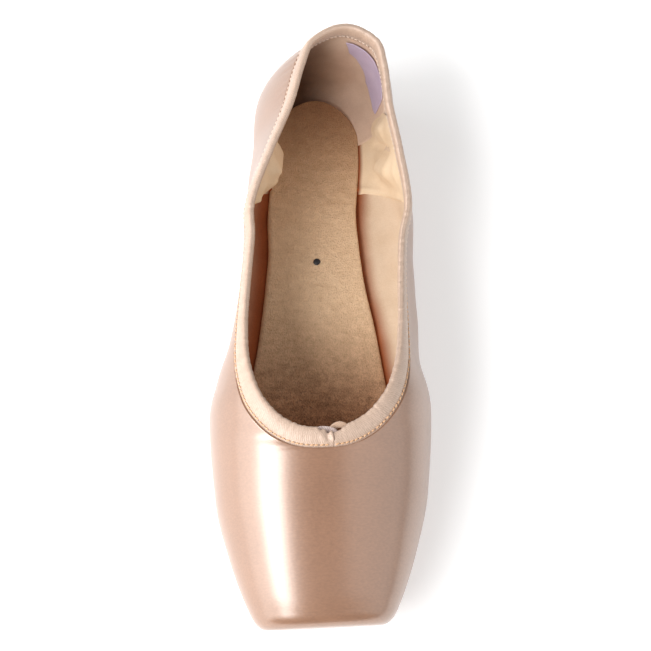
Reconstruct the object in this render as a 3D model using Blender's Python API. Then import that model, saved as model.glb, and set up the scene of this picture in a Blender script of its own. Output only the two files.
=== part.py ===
"""Pointe shoe: satin upper with a blocked box, binding, drawstring, sock, outsole, label and tack.

Metres, +Z up. The toe points to -Y and the heel to +Y. The origin is on the floor under the middle of
the shoe. A point of the shoe is first worked out as (across, along, up): millimetres to +X, millimetres
back from the platform, and millimetres above the floor. settle() turns that into its place in the model.
"""

import math
from collections import namedtuple

import bmesh
import bpy
from mathutils import Vector

MM = 0.001

# Driving sizes, in millimetres
LENGTH = 244.0
BALL_WIDTH = 89.0
INSTEP_HEIGHT = 57.0
HEEL_HEIGHT = 52.0
WALL = 2.0
BOX_WALL = 4.0
PLATFORM_WALL = 6.5
GAP = 0.3
SOLE_THICKNESS = 3.0
SOCK_THICKNESS = 3.2
ARCH_RISE = 4.0
TOE_SPRING = 2.0

# Each row is one cross-section. along is a share of the length, width a share of half the ball width and
# crown a share of the instep height. widest is the height of the widest point in millimetres. The powers
# set how square the section is under and over that point. Past the throat the crown is that of the last,
# which the collar cuts.
Section = namedtuple("Section", "along width widest crown low_power high_power")
SECTIONS = (
    Section(0.019, 0.630, 17.0, 0.600, 2.5, 2.6),
    Section(0.050, 0.705, 17.0, 0.670, 2.7, 2.5),
    Section(0.115, 0.825, 17.5, 0.790, 3.0, 2.3),
    Section(0.212, 0.950, 18.0, 0.930, 3.2, 2.2),
    Section(0.346, 1.000, 18.5, 1.090, 3.2, 2.2),
    Section(0.467, 0.865, 19.5, 1.220, 3.2, 2.2),
    Section(0.542, 0.815, 20.5, 1.290, 3.1, 2.2),
    Section(0.640, 0.785, 21.5, 1.360, 3.0, 2.2),
    Section(0.705, 0.770, 21.5, 1.395, 3.0, 2.2),
    Section(0.770, 0.705, 21.5, 1.440, 2.9, 2.2),
    Section(0.860, 0.640, 21.5, 1.490, 2.8, 2.2),
    Section(1.000, 0.650, 21.5, 1.550, 2.7, 2.2),
)

# The stitched edge of the upper from the throat to the back seam. across is half the opening in
# millimetres, along a share of the length and up a height in millimetres.
Edge = namedtuple("Edge", "across along up")
COLLAR = (
    Edge(0.0, 0.2475, INSTEP_HEIGHT - 2.0),
    Edge(11.0, 0.2530, INSTEP_HEIGHT - 2.5),
    Edge(20.2, 0.2733, INSTEP_HEIGHT - 3.9),
    Edge(26.8, 0.3010, INSTEP_HEIGHT - 4.7),
    Edge(31.6, 0.3385, INSTEP_HEIGHT - 6.5),
    Edge(34.3, 0.3960, INSTEP_HEIGHT - 10.0),
    Edge(34.2, 0.4670, INSTEP_HEIGHT - 13.5),
    Edge(33.2, 0.5420, HEEL_HEIGHT - 11.0),
    Edge(32.6, 0.6250, HEEL_HEIGHT - 11.5),
    Edge(33.8, 0.6900, HEEL_HEIGHT - 10.0),
    Edge(28.6, 0.7750, HEEL_HEIGHT - 7.0),
    Edge(22.4, 0.8600, HEEL_HEIGHT - 3.5),
    Edge(18.9, 0.9300, HEEL_HEIGHT - 1.5),
    Edge(14.0, 0.9760, HEEL_HEIGHT - 0.5),
    Edge(0.0, 1.0000, HEEL_HEIGHT),
)

# Half widths of the outsole and of the sock, in millimetres, each at a share of the length
Outline = namedtuple("Outline", "along half")
OUTSOLE = (
    Outline(0.080, 15.0),
    Outline(0.160, 24.0),
    Outline(0.290, 29.5),
    Outline(0.390, 28.0),
    Outline(0.500, 20.0),
    Outline(0.610, 16.0),
    Outline(0.730, 16.5),
    Outline(0.860, 19.5),
    Outline(0.955, 18.0),
)
OUTSOLE_TIPS = (12.0, 18.0)
SOCK = (
    Outline(0.060, 15.0),
    Outline(0.150, 26.0),
    Outline(0.300, 31.0),
    Outline(0.420, 27.6),
    Outline(0.520, 23.6),
    Outline(0.595, 20.6),
    Outline(0.670, 18.9),
    Outline(0.770, 18.6),
    Outline(0.870, 18.4),
    Outline(0.957, 17.4),
)
SOCK_TIPS = (10.0, 19.0)

# The sock swings this far to one side at the waist, over these shares of the length
SOCK_SWING = -2.2
SOCK_SWING_START = (0.48, 0.62)
SOCK_SWING_END = (0.70, 0.84)
TIP_FLAT = 0.15
OUTSOLE_STATIONS = 30
SOCK_STATIONS = 32

# The outsole's skived edge in millimetres: its width, its height above the floor side and its drop from
# the top. Then the sock's thin edge, the fall of its top there, and where its points lie across it.
SKIVE = 1.0
SKIVE_SHARE = 0.4
SKIVE_DROP = 0.8
SOCK_EDGE = 1.2
SOCK_FALL = 0.5
SOCK_FALL_POWER = 6
SOCK_SHARES = (1.0, 0.92, 0.7, 0.4, 0.0)

# The upper's opening underneath is narrower than the outsole by this margin on each side. It opens and
# closes over these shares of the length.
OPENING_MARGIN = 5.0
OPENING_START = (0.125, 0.160)
OPENING_END = (0.885, 0.915)

# Shares of the length over which the sole comes down from its toe spring, and its arch rises and falls
SPRING_END = (0.06, 0.16)
ARCH_START = (0.42, 0.60)
ARCH_END = (0.62, 0.80)

# Near the throat the collar meets the section by its width, and past these shares by its height
THROAT_BLEND = (0.08, 0.30)
COLLAR_PULL_POWER = 1.6

# Radius of the platform's edge, and how far its face leans forward for each millimetre of height
PLATFORM_ROUND = 5.5
PLATFORM_TILT = 0.22
PLATFORM_PIVOT = 14.0
TILT_END = (0.0, 0.22)

# The wall thins from the box to the quarters over these shares of the length
BOX_TAPER = (0.24, 0.42)

# Inside the platform: steps in from the wall, and the share left of the way to the platform's inner face
INNER_TOE_STEPS = ((1.0, 0.45), (3.0, 0.0))

# The heel's round plan and the tuck of its lower edge start at these shares of the length
HEEL_ROUND_FROM = 0.854
HEEL_ROUND_POWER = 3.1
HEEL_TUCK_FROM = 0.937
HEEL_TUCK_RISE = 11.0

# How far the soft quarters lean to +X at the heel's top and swell to +X at the waist, and the heel's top
# leans forward. The platform runs back towards +X by the skew, for each millimetre across.
HEEL_LEAN = 11.8
LEAN_FROM = 6.0
LEAN_POWER = 0.85
LEAN_RANGE = (0.38, 1.03)
WAIST_SWING = 2.9
WAIST_START = (0.40, 0.52)
WAIST_END = (0.68, 0.82)
WAIST_LOW = (8.0, 18.0)
WAIST_HIGH = (26.0, 42.0)
HEEL_FORWARD = 1.0
HEEL_FORWARD_RANGE = (0.80, 1.0)
HEEL_FORWARD_FROM = 24.0
TOE_SKEW = 0.04
SKEW_END = (0.30, 0.60)
MIDDLE_ALONG = LENGTH / 2 - 1.8

BINDING_HEIGHT = 7.4
BINDING_THICKNESS = 3.4
BINDING_GAP = 0.7
BINDING_CORNERS = 10
BINDING_SQUARENESS = 0.8

# The drawstring's two ends, tucked behind the binding at the throat. across is measured to the right of
# the throat and rise from the middle of the binding's height, both in millimetres.
Bend = namedtuple("Bend", "across rise")
LEFT_END = (
    Bend(-10.5, -1.0),
    Bend(-7.0, 2.6),
    Bend(-3.0, 4.6),
    Bend(1.0, 4.9),
    Bend(4.0, 3.4),
    Bend(5.6, 0.0),
)
RIGHT_END = (
    Bend(12.5, 1.0),
    Bend(9.6, 3.6),
    Bend(6.6, 5.2),
    Bend(3.6, 4.6),
    Bend(1.2, 2.2),
    Bend(0.4, -1.4),
)
LEFT_DEPTH = 2.9
RIGHT_DEPTH = 5.6
DRAWSTRING_WIDTH = 2.6
DRAWSTRING_THICKNESS = 1.5
DRAWSTRING_CORNERS = 8
DRAWSTRING_STEPS = 3

# The label climbs round the right of the heel. Each row is a share of the way round the collar, and how
# far up the wall the label's two edges lie there, as shares of the way from below to the collar.
Strip = namedtuple("Strip", "share low high")
LABEL = (
    Strip(0.862, 0.62, 0.80),
    Strip(0.885, 0.64, 0.88),
    Strip(0.915, 0.68, 0.94),
    Strip(0.945, 0.77, 0.97),
    Strip(0.970, 0.84, 0.98),
    Strip(0.990, 0.91, 0.98),
)
LABEL_STEPS = 4
LABEL_DEPTH = 1.0
LABEL_THICKNESS = 0.4
TACK_RADIUS = 1.45
TACK_GAP = 0.1
TACK_ACROSS = -2.1
TACK_ALONG = 0.639 * LENGTH
TACK_CORNERS = 12

# The tack's head from its edge up to its top: a share of its radius, and a height in millimetres
TACK_PROFILE = ((1.0, 0.0), (1.0, 0.35), (0.7, 0.6), (0.3, 0.7))

# Steps along the shoe in millimetres, and round a section in degrees, that the outward direction is read from
NORMAL_STEP = 1.0
NORMAL_TURN = 2.0

# Points nearer the middle line than this, in millimetres, lie on it
ON_MIDDLE = 1e-4

# Points of a mesh nearer than this, in metres, are welded, and an edge sharper than the angle isn't smoothed
WELD = 1e-6
SHARP_ANGLE = math.radians(50)

# Faces: rows up the wall, and columns along the vamp and along each half of the collar
ROWS = 14
VAMP_STATIONS = 11
COLLAR_STATIONS = 34

# One line of the upper's outer face, from below to its top: its points and the outward direction at each
Column = namedtuple("Column", "points outwards")


def eased(low, high, value):
    """0 below low, 1 above high, and a smooth rise between them."""
    share = min(1.0, max(0.0, (value - low) / (high - low)))
    return share * share * (3.0 - 2.0 * share)


def through(rows, column, value):
    """The column of a table at a place along the shoe, on a smooth curve that never overshoots its rows."""
    places = [row.along * LENGTH for row in rows]
    heights = [getattr(row, column) for row in rows]
    if value <= places[0]:
        return heights[0]
    if value >= places[-1]:
        return heights[-1]
    steps = [b - a for a, b in zip(places, places[1:])]
    slopes = [(b - a) / step for a, b, step in zip(heights, heights[1:], steps)]
    tangents = [slopes[0]]
    for before, after in zip(slopes, slopes[1:]):
        tangents.append(0.0 if before * after <= 0 else 2 * before * after / (before + after))
    tangents.append(slopes[-1])
    spot = next(i for i, step in enumerate(steps) if value <= places[i] + step)
    share = (value - places[spot]) / steps[spot]
    square, cube = share**2, share**3
    return (
        (2 * cube - 3 * square + 1) * heights[spot]
        + (cube - 2 * square + share) * steps[spot] * tangents[spot]
        + (3 * square - 2 * cube) * heights[spot + 1]
        + (cube - square) * steps[spot] * tangents[spot + 1]
    )


def sole_rise(along):
    """Height of the outsole's underside: flat at ball and heel, arched between, with a little toe spring."""
    place = along / LENGTH
    arch = ARCH_RISE * eased(*ARCH_START, place) * (1.0 - eased(*ARCH_END, place))
    spring = TOE_SPRING * (1.0 - eased(*SPRING_END, place))
    return arch + spring


def underside(along):
    """Height of the upper's underside on the centre line, tucked up at the back of the heel."""
    place = min(1.0, along / LENGTH)
    tuck = max(0.0, (place - HEEL_TUCK_FROM) / (1.0 - HEEL_TUCK_FROM))
    lift = HEEL_TUCK_RISE * (1.0 - math.sqrt(max(0.0, 1.0 - tuck * tuck)))
    return sole_rise(along) + SOLE_THICKNESS + GAP + lift


def half_width(along):
    """Half the outer width of the last, with the round plan of the heel."""
    round_share = max(0.0, (along / LENGTH - HEEL_ROUND_FROM) / (1.0 - HEEL_ROUND_FROM))
    heel = max(0.0, 1.0 - min(1.0, round_share) ** HEEL_ROUND_POWER) ** (1 / HEEL_ROUND_POWER)
    return through(SECTIONS, "width", along) * BALL_WIDTH / 2 * heel


def on_section(along, angle):
    """The point of the last's section at an angle from -90 degrees, under, to 90 degrees, on the crown."""
    wide = half_width(along)
    widest = through(SECTIONS, "widest", along)
    if angle < 0:
        power = through(SECTIONS, "low_power", along)
        reach = underside(along) - widest
    else:
        power = through(SECTIONS, "high_power", along)
        reach = through(SECTIONS, "crown", along) * INSTEP_HEIGHT - widest
    across = wide * max(0.0, math.cos(math.radians(angle))) ** (2 / power)
    up = widest + reach * abs(math.sin(math.radians(angle))) ** (2 / power)
    return Vector((across, along, up))


def collar_point(share):
    """The upper's stitched edge, from the throat at 0 to the back seam at 1, on a curve through COLLAR."""
    points = [Vector((row.across, row.along * LENGTH, row.up)) for row in COLLAR]
    mirrored = Vector((-1, 1, 1))
    points = [points[1] * mirrored, *points, points[-2] * mirrored]
    place = share * (len(COLLAR) - 1)
    spot = min(len(COLLAR) - 2, int(place))
    a, b, c, d = points[spot : spot + 4]
    t = place - spot
    return 0.5 * (
        2 * b + (c - a) * t + (2 * a - 5 * b + 4 * c - d) * t**2 + (3 * b - a - 3 * c + d) * t**3
    )


def opening_half(along):
    """Half the width of the upper's opening underneath, or 0 beyond its ends."""
    place = along / LENGTH
    ends = eased(*OPENING_START, place) * (1.0 - eased(*OPENING_END, place))
    return max(0.0, through(OUTSOLE, "half", along) - OPENING_MARGIN) * ends


def lowest_angle(along):
    """The section angle at the edge of the opening underneath, or -90 degrees where there is none."""
    reach = opening_half(along) / max(ON_MIDDLE, half_width(along))
    if reach <= 0:
        return -90.0
    power = through(SECTIONS, "low_power", along)
    return -math.degrees(math.acos(min(1.0, reach) ** (power / 2)))


def top_angle(top, share):
    """The section angle nearest the collar's point top, at a share of the way round the collar."""
    power = through(SECTIONS, "high_power", top.y) / 2
    widest = through(SECTIONS, "widest", top.y)
    crown = through(SECTIONS, "crown", top.y) * INSTEP_HEIGHT
    level = min(1.0, (top.z - widest) / (crown - widest))
    by_height = math.degrees(math.asin(level**power))
    by_width = 90.0
    if half_width(top.y) > 0:
        by_width = math.degrees(math.acos(min(1.0, max(0.0, top.x) / half_width(top.y)) ** power))
    return by_width + (by_height - by_width) * eased(*THROAT_BLEND, share)


def last_normal(along, angle):
    """The outward direction of the last's surface at an angle of one of its sections."""
    along = min(LENGTH - NORMAL_STEP, along)
    angle = max(NORMAL_TURN - 90.0, min(90.0 - NORMAL_TURN, angle))
    upward = on_section(along, angle + NORMAL_TURN) - on_section(along, angle - NORMAL_TURN)
    backward = on_section(along + NORMAL_STEP, angle) - on_section(along - NORMAL_STEP, angle)
    return backward.cross(upward).normalized()


def column(foot, top=None, share=0.0, levels=None):
    """The right half, from below at foot along the shoe up to the crown, or to the collar's point top.

    levels are the shares of the way up at which its points lie, evenly spaced where none are given.
    """
    low = lowest_angle(foot)
    high = 90.0
    head = foot
    shift = Vector((0.0, 0.0, 0.0))
    if top is not None:
        high = top_angle(top, share)
        head = top.y
        shift = top - on_section(head, high)
    points, outwards = [], []
    for level in levels or [i / ROWS for i in range(ROWS + 1)]:
        angle = low + (high - low) * level
        along = foot + (head - foot) * level
        points.append(on_section(along, angle) + shift * max(0.0, angle / high) ** COLLAR_PULL_POWER)
        outward = last_normal(along, angle)
        if points[-1].x < ON_MIDDLE:
            outward.x = 0.0
        outwards.append(outward.normalized())
    return Column(points, outwards)


def collar_edges():
    """Points of the upper's stitched edge from throat to back seam, each with its share of the way."""
    edges = []
    for i in range(COLLAR_STATIONS + 1):
        share = i / COLLAR_STATIONS
        edge = collar_point(share)
        edge.y = min(LENGTH, edge.y) if i < COLLAR_STATIONS else LENGTH
        edges.append((share, edge))
    return edges


def outer_columns():
    """The upper's outer face as columns, from the first section behind the platform to the back seam."""
    first = 2 * PLATFORM_ROUND
    throat = COLLAR[0].along * LENGTH
    columns = [column(first + (throat - first) * i / VAMP_STATIONS) for i in range(VAMP_STATIONS)]
    for share, edge in collar_edges():
        columns.append(column(throat + (LENGTH - throat) * share, edge, share))
    return columns


def wall_at(along):
    """Thickness of the upper's wall: stiff and thick in the box, thin along the quarters."""
    return BOX_WALL + (WALL - BOX_WALL) * eased(*BOX_TAPER, along / LENGTH)


def inner_rows(columns, extra=0.0):
    """The upper's inner face under the columns, as rows of points. extra is a further step inwards."""
    rows = []
    for line in columns:
        rows.append([point - outward * (wall_at(point.y) + extra) for point, outward in zip(*line)])
    return rows


def shrunk(points, step, along):
    """A column drawn in by step towards its middle and moved to another place along the shoe."""
    middle = (points[0].z + points[-1].z) / 2
    reach = max(point.x for point in points)
    rise = (points[-1].z - points[0].z) / 2
    return [
        Vector((p.x * (1 - step / reach), along, middle + (p.z - middle) * (1 - step / rise)))
        for p in points
    ]


def outer_toe():
    """Columns that round the platform's edge and cross its flat face to the middle."""
    base = column(PLATFORM_ROUND).points
    faces = [shrunk(base, 0, PLATFORM_ROUND)]
    for degrees in (30, 60, 90):
        turn = math.radians(degrees)
        step = PLATFORM_ROUND * (1 - math.cos(turn))
        faces.append(shrunk(base, step, PLATFORM_ROUND * (1 - math.sin(turn))))
    return faces + flat_face(faces[-1])


def inner_toe(first):
    """Columns that close the box inside, behind the thick platform."""
    near = first[ROWS // 2].y
    faces = []
    for step, rest in INNER_TOE_STEPS:
        faces.append(shrunk(first, step, PLATFORM_WALL + (near - PLATFORM_WALL) * rest))
    return faces + flat_face(faces[-1])


def flat_face(rim):
    """A flat face inside a rim: one ring half as large, and the point in its middle."""
    middle = Vector((0.0, rim[0].y, (rim[0].z + rim[-1].z) / 2))
    return [[middle + (point - middle) * share for point in rim] for share in (0.5, 0.0)]


def settle(point):
    """The place in the model, in metres, of a point given as (across, along, up) in millimetres."""
    across, along, up = point
    place = along / LENGTH
    climb = max(0.0, up - LEAN_FROM) / HEEL_HEIGHT
    lean = HEEL_LEAN * climb**LEAN_POWER * eased(*LEAN_RANGE, place)
    girth = eased(*WAIST_LOW, up) * (1.0 - eased(*WAIST_HIGH, up))
    waist = eased(*WAIST_START, place) * (1.0 - eased(*WAIST_END, place))
    swell = WAIST_SWING * girth * waist
    top = eased(HEEL_FORWARD_FROM, HEEL_HEIGHT + BINDING_HEIGHT, up)
    heel = HEEL_FORWARD * top * eased(*HEEL_FORWARD_RANGE, place)
    platform = PLATFORM_TILT * (up - PLATFORM_PIVOT) * (1.0 - eased(*TILT_END, place))
    skew = TOE_SKEW * across * (1.0 - eased(*SKEW_END, place))
    return Vector((across + lean + swell, along + skew - heel - platform - MIDDLE_ALONG, up)) * MM


def other_side(point):
    """The same point on the other half of the shoe."""
    return Vector((-point.x, point.y, point.z))


def material(name, colour, roughness):
    """A plain Principled material."""
    made = bpy.data.materials.new(name)
    made.use_nodes = True
    shader = made.node_tree.nodes["Principled BSDF"]
    shader.inputs["Base Color"].default_value = (*colour, 1.0)
    shader.inputs["Roughness"].default_value = roughness
    shader.inputs["Metallic"].default_value = 0.0
    return made


def finish_mesh(name, mesh, finish):
    """Welds and closes the mesh, and puts it in the scene as one smooth object."""
    bmesh.ops.remove_doubles(mesh, verts=mesh.verts, dist=WELD)
    bmesh.ops.dissolve_degenerate(mesh, edges=mesh.edges, dist=WELD / 10)
    bmesh.ops.recalc_face_normals(mesh, faces=mesh.faces)
    data = bpy.data.meshes.new(name)
    mesh.to_mesh(data)
    mesh.free()
    data.materials.append(finish)
    data.shade_smooth()
    data.set_sharp_from_angle(angle=SHARP_ANGLE)
    made = bpy.data.objects.new(name, data)
    bpy.context.scene.collection.objects.link(made)
    return made


def add_face(mesh, corners):
    """One face through the corners, leaving out any that repeat."""
    places = []
    for corner in corners:
        if all((corner - other).length > ON_MIDDLE for other in places):
            places.append(corner)
    if len(places) > 2:
        mesh.faces.new([mesh.verts.new(settle(place)) for place in places])


def add_strip(mesh, one, other):
    """Faces between two rows of points, on both halves of the shoe."""
    for i in range(len(one) - 1):
        corners = [one[i], one[i + 1], other[i + 1], other[i]]
        add_face(mesh, corners)
        add_face(mesh, [other_side(corner) for corner in reversed(corners)])


def loft(mesh, rings, closed=False):
    """A tube through closed rings of points, joined end to end, or closed with a face at each end."""
    count = len(rings)
    for i in range(count if closed else count - 1):
        one, other = rings[i], rings[(i + 1) % count]
        for j in range(len(one)):
            k = (j + 1) % len(one)
            add_face(mesh, [one[j], one[k], other[k], other[j]])
    if not closed:
        add_face(mesh, rings[0])
        add_face(mesh, rings[-1])


def make_upper(satin):
    """One hollow wall: vamp, box, platform and quarters, open at the collar and underneath."""
    columns = outer_columns()
    outer = [line.points for line in columns]
    inner = inner_rows(columns)
    mesh = bmesh.new()
    outside = list(reversed(outer_toe())) + outer
    inside = list(reversed(inner_toe(inner[0]))) + inner
    for sheet in (outside, inside):
        for one, other in zip(sheet, sheet[1:]):
            add_strip(mesh, one, other)
    rim = slice(VAMP_STATIONS, None)
    add_strip(mesh, [points[-1] for points in outer[rim]], [points[-1] for points in inner[rim]])
    open_below = [opening_half(points[0].y) > 0 for points in outer]
    first = open_below.index(True) - 1
    last = len(open_below) - open_below[::-1].index(True)
    below = slice(first, last + 1)
    add_strip(mesh, [points[0] for points in outer[below]], [points[0] for points in inner[below]])
    return finish_mesh("upper", mesh, satin)


def collar_frames():
    """Along one half of the collar: the wall's middle at its edge, the way up the wall and the way out."""
    edges = collar_edges()
    places = [edge for _, edge in edges]
    ahead = [*places[1:], other_side(places[-2])]
    behind = [other_side(places[1]), *places[:-1]]
    frames = []
    for (share, edge), after, before in zip(edges, ahead, behind):
        tangent = (after - before).normalized()
        outward = last_normal(edge.y, top_angle(edge, share))
        if edge.x < ON_MIDDLE:
            outward.x = 0.0
        outward = (outward - tangent * outward.dot(tangent)).normalized()
        upward = outward.cross(tangent).normalized()
        frames.append((edge - outward * wall_at(edge.y) / 2, upward, outward))
    return frames


def binding_ring(middle, upward, outward):
    """One oval cross-section of the binding, standing on the wall's edge."""
    centre = middle + upward * (BINDING_GAP + BINDING_HEIGHT / 2)
    ring = []
    for i in range(BINDING_CORNERS):
        turn = math.tau * (i + 0.5) / BINDING_CORNERS
        rise = math.copysign(abs(math.cos(turn)) ** BINDING_SQUARENESS, math.cos(turn))
        reach = math.copysign(abs(math.sin(turn)) ** BINDING_SQUARENESS, math.sin(turn))
        ring.append(centre + upward * rise * BINDING_HEIGHT / 2 + outward * reach * BINDING_THICKNESS / 2)
    return ring


def make_binding(tape):
    """The folded tape around the whole collar, the casing of the drawstring."""
    right = [binding_ring(*frame) for frame in collar_frames()]
    left = []
    for ring in reversed(right[1:-1]):
        left.append([other_side(point) for point in ring])
    mesh = bmesh.new()
    loft(mesh, right + left, closed=True)
    return finish_mesh("binding", mesh, tape)


def throat_frame(across):
    """The collar's frame at a distance to the right of the throat, or to the left where that is negative."""
    frames = collar_frames()
    spot = next(i for i in range(1, len(frames)) if frames[i][0].x >= abs(across))
    before, after = frames[spot - 1], frames[spot]
    share = (abs(across) - before[0].x) / (after[0].x - before[0].x)
    found = [one.lerp(other, share) for one, other in zip(before, after)]
    return [other_side(vector) for vector in found] if across < 0 else found


def make_drawstring_end(name, bends, depth, cord):
    """One flat end of the drawstring, bent over behind the binding. depth is its step behind it."""
    rows = []
    for bend, following in zip(bends, bends[1:]):
        for step in range(DRAWSTRING_STEPS):
            share = step / DRAWSTRING_STEPS
            across = bend.across + (following.across - bend.across) * share
            rows.append((across, bend.rise + (following.rise - bend.rise) * share))
    rows.append(tuple(bends[-1]))
    centres, outwards = [], []
    for across, rise in rows:
        middle, upward, outward = throat_frame(across)
        centres.append(middle + upward * (BINDING_GAP + BINDING_HEIGHT / 2 + rise) - outward * depth)
        outwards.append(outward)
    mesh = bmesh.new()
    rings = []
    for i, centre in enumerate(centres):
        tangent = (centres[min(i + 1, len(centres) - 1)] - centres[max(0, i - 1)]).normalized()
        side = tangent.cross(outwards[i]).normalized()
        turns = [math.tau * k / DRAWSTRING_CORNERS for k in range(DRAWSTRING_CORNERS)]
        rings.append(
            [
                centre
                + side * DRAWSTRING_WIDTH / 2 * math.cos(turn)
                + outwards[i] * DRAWSTRING_THICKNESS / 2 * math.sin(turn)
                for turn in turns
            ]
        )
    loft(mesh, rings)
    return finish_mesh(name, mesh, cord)


def make_label(paper):
    """The thin label on the inner face of the heel, under the binding on the right."""
    throat = COLLAR[0].along * LENGTH
    columns = []
    for row, following in zip(LABEL, LABEL[1:]):
        for step in range(LABEL_STEPS):
            part = step / LABEL_STEPS
            share, low, high = (a + (b - a) * part for a, b in zip(row, following))
            levels = [low + (high - low) * i / LABEL_STEPS for i in range(LABEL_STEPS + 1)]
            foot = throat + (LENGTH - throat) * share
            columns.append(column(foot, collar_point(share), share, levels))
    near = inner_rows(columns, LABEL_DEPTH)
    far = inner_rows(columns, LABEL_DEPTH + LABEL_THICKNESS)
    mesh = bmesh.new()
    loft(mesh, [one + other[::-1] for one, other in zip(near, far)])
    return finish_mesh("label", mesh, paper)


def make_tack(black):
    """The head of the tack that holds the sock to the shank."""
    mesh = bmesh.new()
    rings = []
    middle = Vector((TACK_ACROSS, TACK_ALONG, sock_top(TACK_ALONG, TACK_ACROSS) + TACK_GAP))
    turns = [math.tau * k / TACK_CORNERS for k in range(TACK_CORNERS)]
    for share, rise in TACK_PROFILE:
        reach = TACK_RADIUS * share
        rings.append([middle + Vector((reach * math.cos(t), reach * math.sin(t), rise)) for t in turns])
    loft(mesh, rings)
    return finish_mesh("tack", mesh, black)


def plan_stations(rows, tips, count):
    """Places along an outline with round tips, closer together at its ends, each with its half width."""
    first, last = rows[0].along * LENGTH, rows[-1].along * LENGTH
    stations = []
    for i in range(count + 1):
        along = (first + last) / 2 - (last - first) / 2 * math.cos(math.pi * i / count)
        toe = 1.0 - min(1.0, (along - first + TIP_FLAT) / tips[0])
        heel = 1.0 - min(1.0, (last - along + TIP_FLAT) / tips[1])
        ends = math.sqrt(1.0 - toe * toe) * math.sqrt(1.0 - heel * heel)
        stations.append((along, through(rows, "half", along) * ends))
    return stations


def make_outsole(leather):
    """The leather sole under the shoe, with its arch, toe spring and skived edge."""
    mesh = bmesh.new()
    rings = []
    for along, half in plan_stations(OUTSOLE, OUTSOLE_TIPS, OUTSOLE_STATIONS):
        low = sole_rise(along)
        high = low + SOLE_THICKNESS
        skive = min(SKIVE, half * SKIVE_SHARE)
        profile = (
            (half - skive, high),
            (half, high - SKIVE_DROP),
            (half, low + SKIVE),
            (half - skive, low),
        )
        ring = [Vector((x, along, z)) for x, z in profile]
        rings.append(ring + [other_side(point) for point in reversed(ring)])
    loft(mesh, rings)
    return finish_mesh("outsole", mesh, leather)


def bed_height(along, across):
    """Height of the upper's inner face under the foot, at a distance from the centre line."""
    inner = half_width(along) - wall_at(along)
    power = through(SECTIONS, "low_power", along)
    widest = through(SECTIONS, "widest", along)
    depth = widest - underside(along) - wall_at(along)
    share = min(1.0, abs(across) / inner)
    return widest - depth * (1.0 - share**power) ** (1 / power)


def sock_top(along, edge):
    """Height of the sock's upper face at a distance from the centre line."""
    return 2 * GAP + max(bed_height(along, 0.0) + SOCK_THICKNESS, bed_height(along, edge) + SOCK_EDGE)


def make_sock(felt):
    """The sock and shank that the foot stands on, bedded inside the upper and over its opening."""
    mesh = bmesh.new()
    rings = []
    shares = [*SOCK_SHARES, *(-share for share in reversed(SOCK_SHARES[:-1]))]
    for along, half in plan_stations(SOCK, SOCK_TIPS, SOCK_STATIONS):
        place = along / LENGTH
        swing = SOCK_SWING * eased(*SOCK_SWING_START, place) * (1.0 - eased(*SOCK_SWING_END, place))
        low, high = [], []
        for share in shares:
            across = half * share + swing
            low.append(Vector((across, along, bed_height(along, across) + 2 * GAP)))
            fall = SOCK_FALL * abs(share) ** SOCK_FALL_POWER
            high.append(Vector((across, along, sock_top(along, across) - fall)))
        rings.append(high + low[::-1])
    loft(mesh, rings)
    return finish_mesh("sock", mesh, felt)


def clear_scene():
    """Removes whatever the scene holds."""
    for old in list(bpy.data.objects):
        bpy.data.objects.remove(old, do_unlink=True)


def main():
    """Makes every piece of the shoe."""
    clear_scene()
    make_upper(material("satin", (0.80, 0.58, 0.47), 0.35))
    make_binding(material("binding_tape", (0.84, 0.66, 0.54), 0.55))
    make_outsole(material("sole_leather", (0.62, 0.44, 0.30), 0.80))
    make_sock(material("sock_felt", (0.66, 0.46, 0.31), 0.90))
    pale = material("drawstring_pale", (0.80, 0.72, 0.72), 0.60)
    tan = material("drawstring_tan", (0.74, 0.56, 0.44), 0.60)
    make_drawstring_end("drawstring_left", LEFT_END, LEFT_DEPTH, pale)
    make_drawstring_end("drawstring_right", RIGHT_END, RIGHT_DEPTH, tan)
    make_label(material("label_paper", (0.56, 0.48, 0.56), 0.70))
    make_tack(material("tack_black", (0.02, 0.02, 0.025), 0.40))


main()
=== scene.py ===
"""A pale satin pointe shoe, dressed for its portrait on a white table.

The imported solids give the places. The shapes of the last are worked out again here from the same sizes, so
that satin, tape, lining and sock lie where the solids lie, with finer folds, stitches and cloth. A point of
the shoe is first (across, along, up) in millimetres: across to the right, along back from the platform and
up from the floor.
"""

import logging
import math
from collections.abc import Sequence
from dataclasses import dataclass, field
from enum import Enum

import bmesh
import bpy
import numpy as np
from mathutils import Matrix, Vector


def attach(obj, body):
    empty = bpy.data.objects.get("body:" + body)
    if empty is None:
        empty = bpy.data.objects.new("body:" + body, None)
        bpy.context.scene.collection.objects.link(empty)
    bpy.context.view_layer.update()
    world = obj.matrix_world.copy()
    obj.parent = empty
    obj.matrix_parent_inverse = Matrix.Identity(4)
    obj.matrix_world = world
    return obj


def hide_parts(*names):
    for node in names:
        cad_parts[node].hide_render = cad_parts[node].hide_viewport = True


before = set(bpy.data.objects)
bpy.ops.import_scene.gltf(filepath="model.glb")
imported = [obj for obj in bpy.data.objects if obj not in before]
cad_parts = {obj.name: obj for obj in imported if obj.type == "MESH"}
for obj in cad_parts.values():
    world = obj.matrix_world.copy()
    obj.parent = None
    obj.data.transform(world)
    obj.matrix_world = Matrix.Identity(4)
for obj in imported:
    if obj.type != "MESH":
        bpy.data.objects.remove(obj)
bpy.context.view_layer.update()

Array = np.ndarray
Colour = tuple[float, float, float]
Span = tuple[float, float]
Hill = tuple[Span, Span]
Patch = tuple[Array, Array, Array]
Socket = bpy.types.NodeSocket
Material = bpy.types.Material
MM = 0.001
# Millimetres from the centre line that count as on it.
HAIR = 1e-4
# Metres within which points become one, at the soles' pointed tips and in the thin stitches.
TIP_WELD = 2e-5
THREAD_WELD = 1e-7
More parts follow.
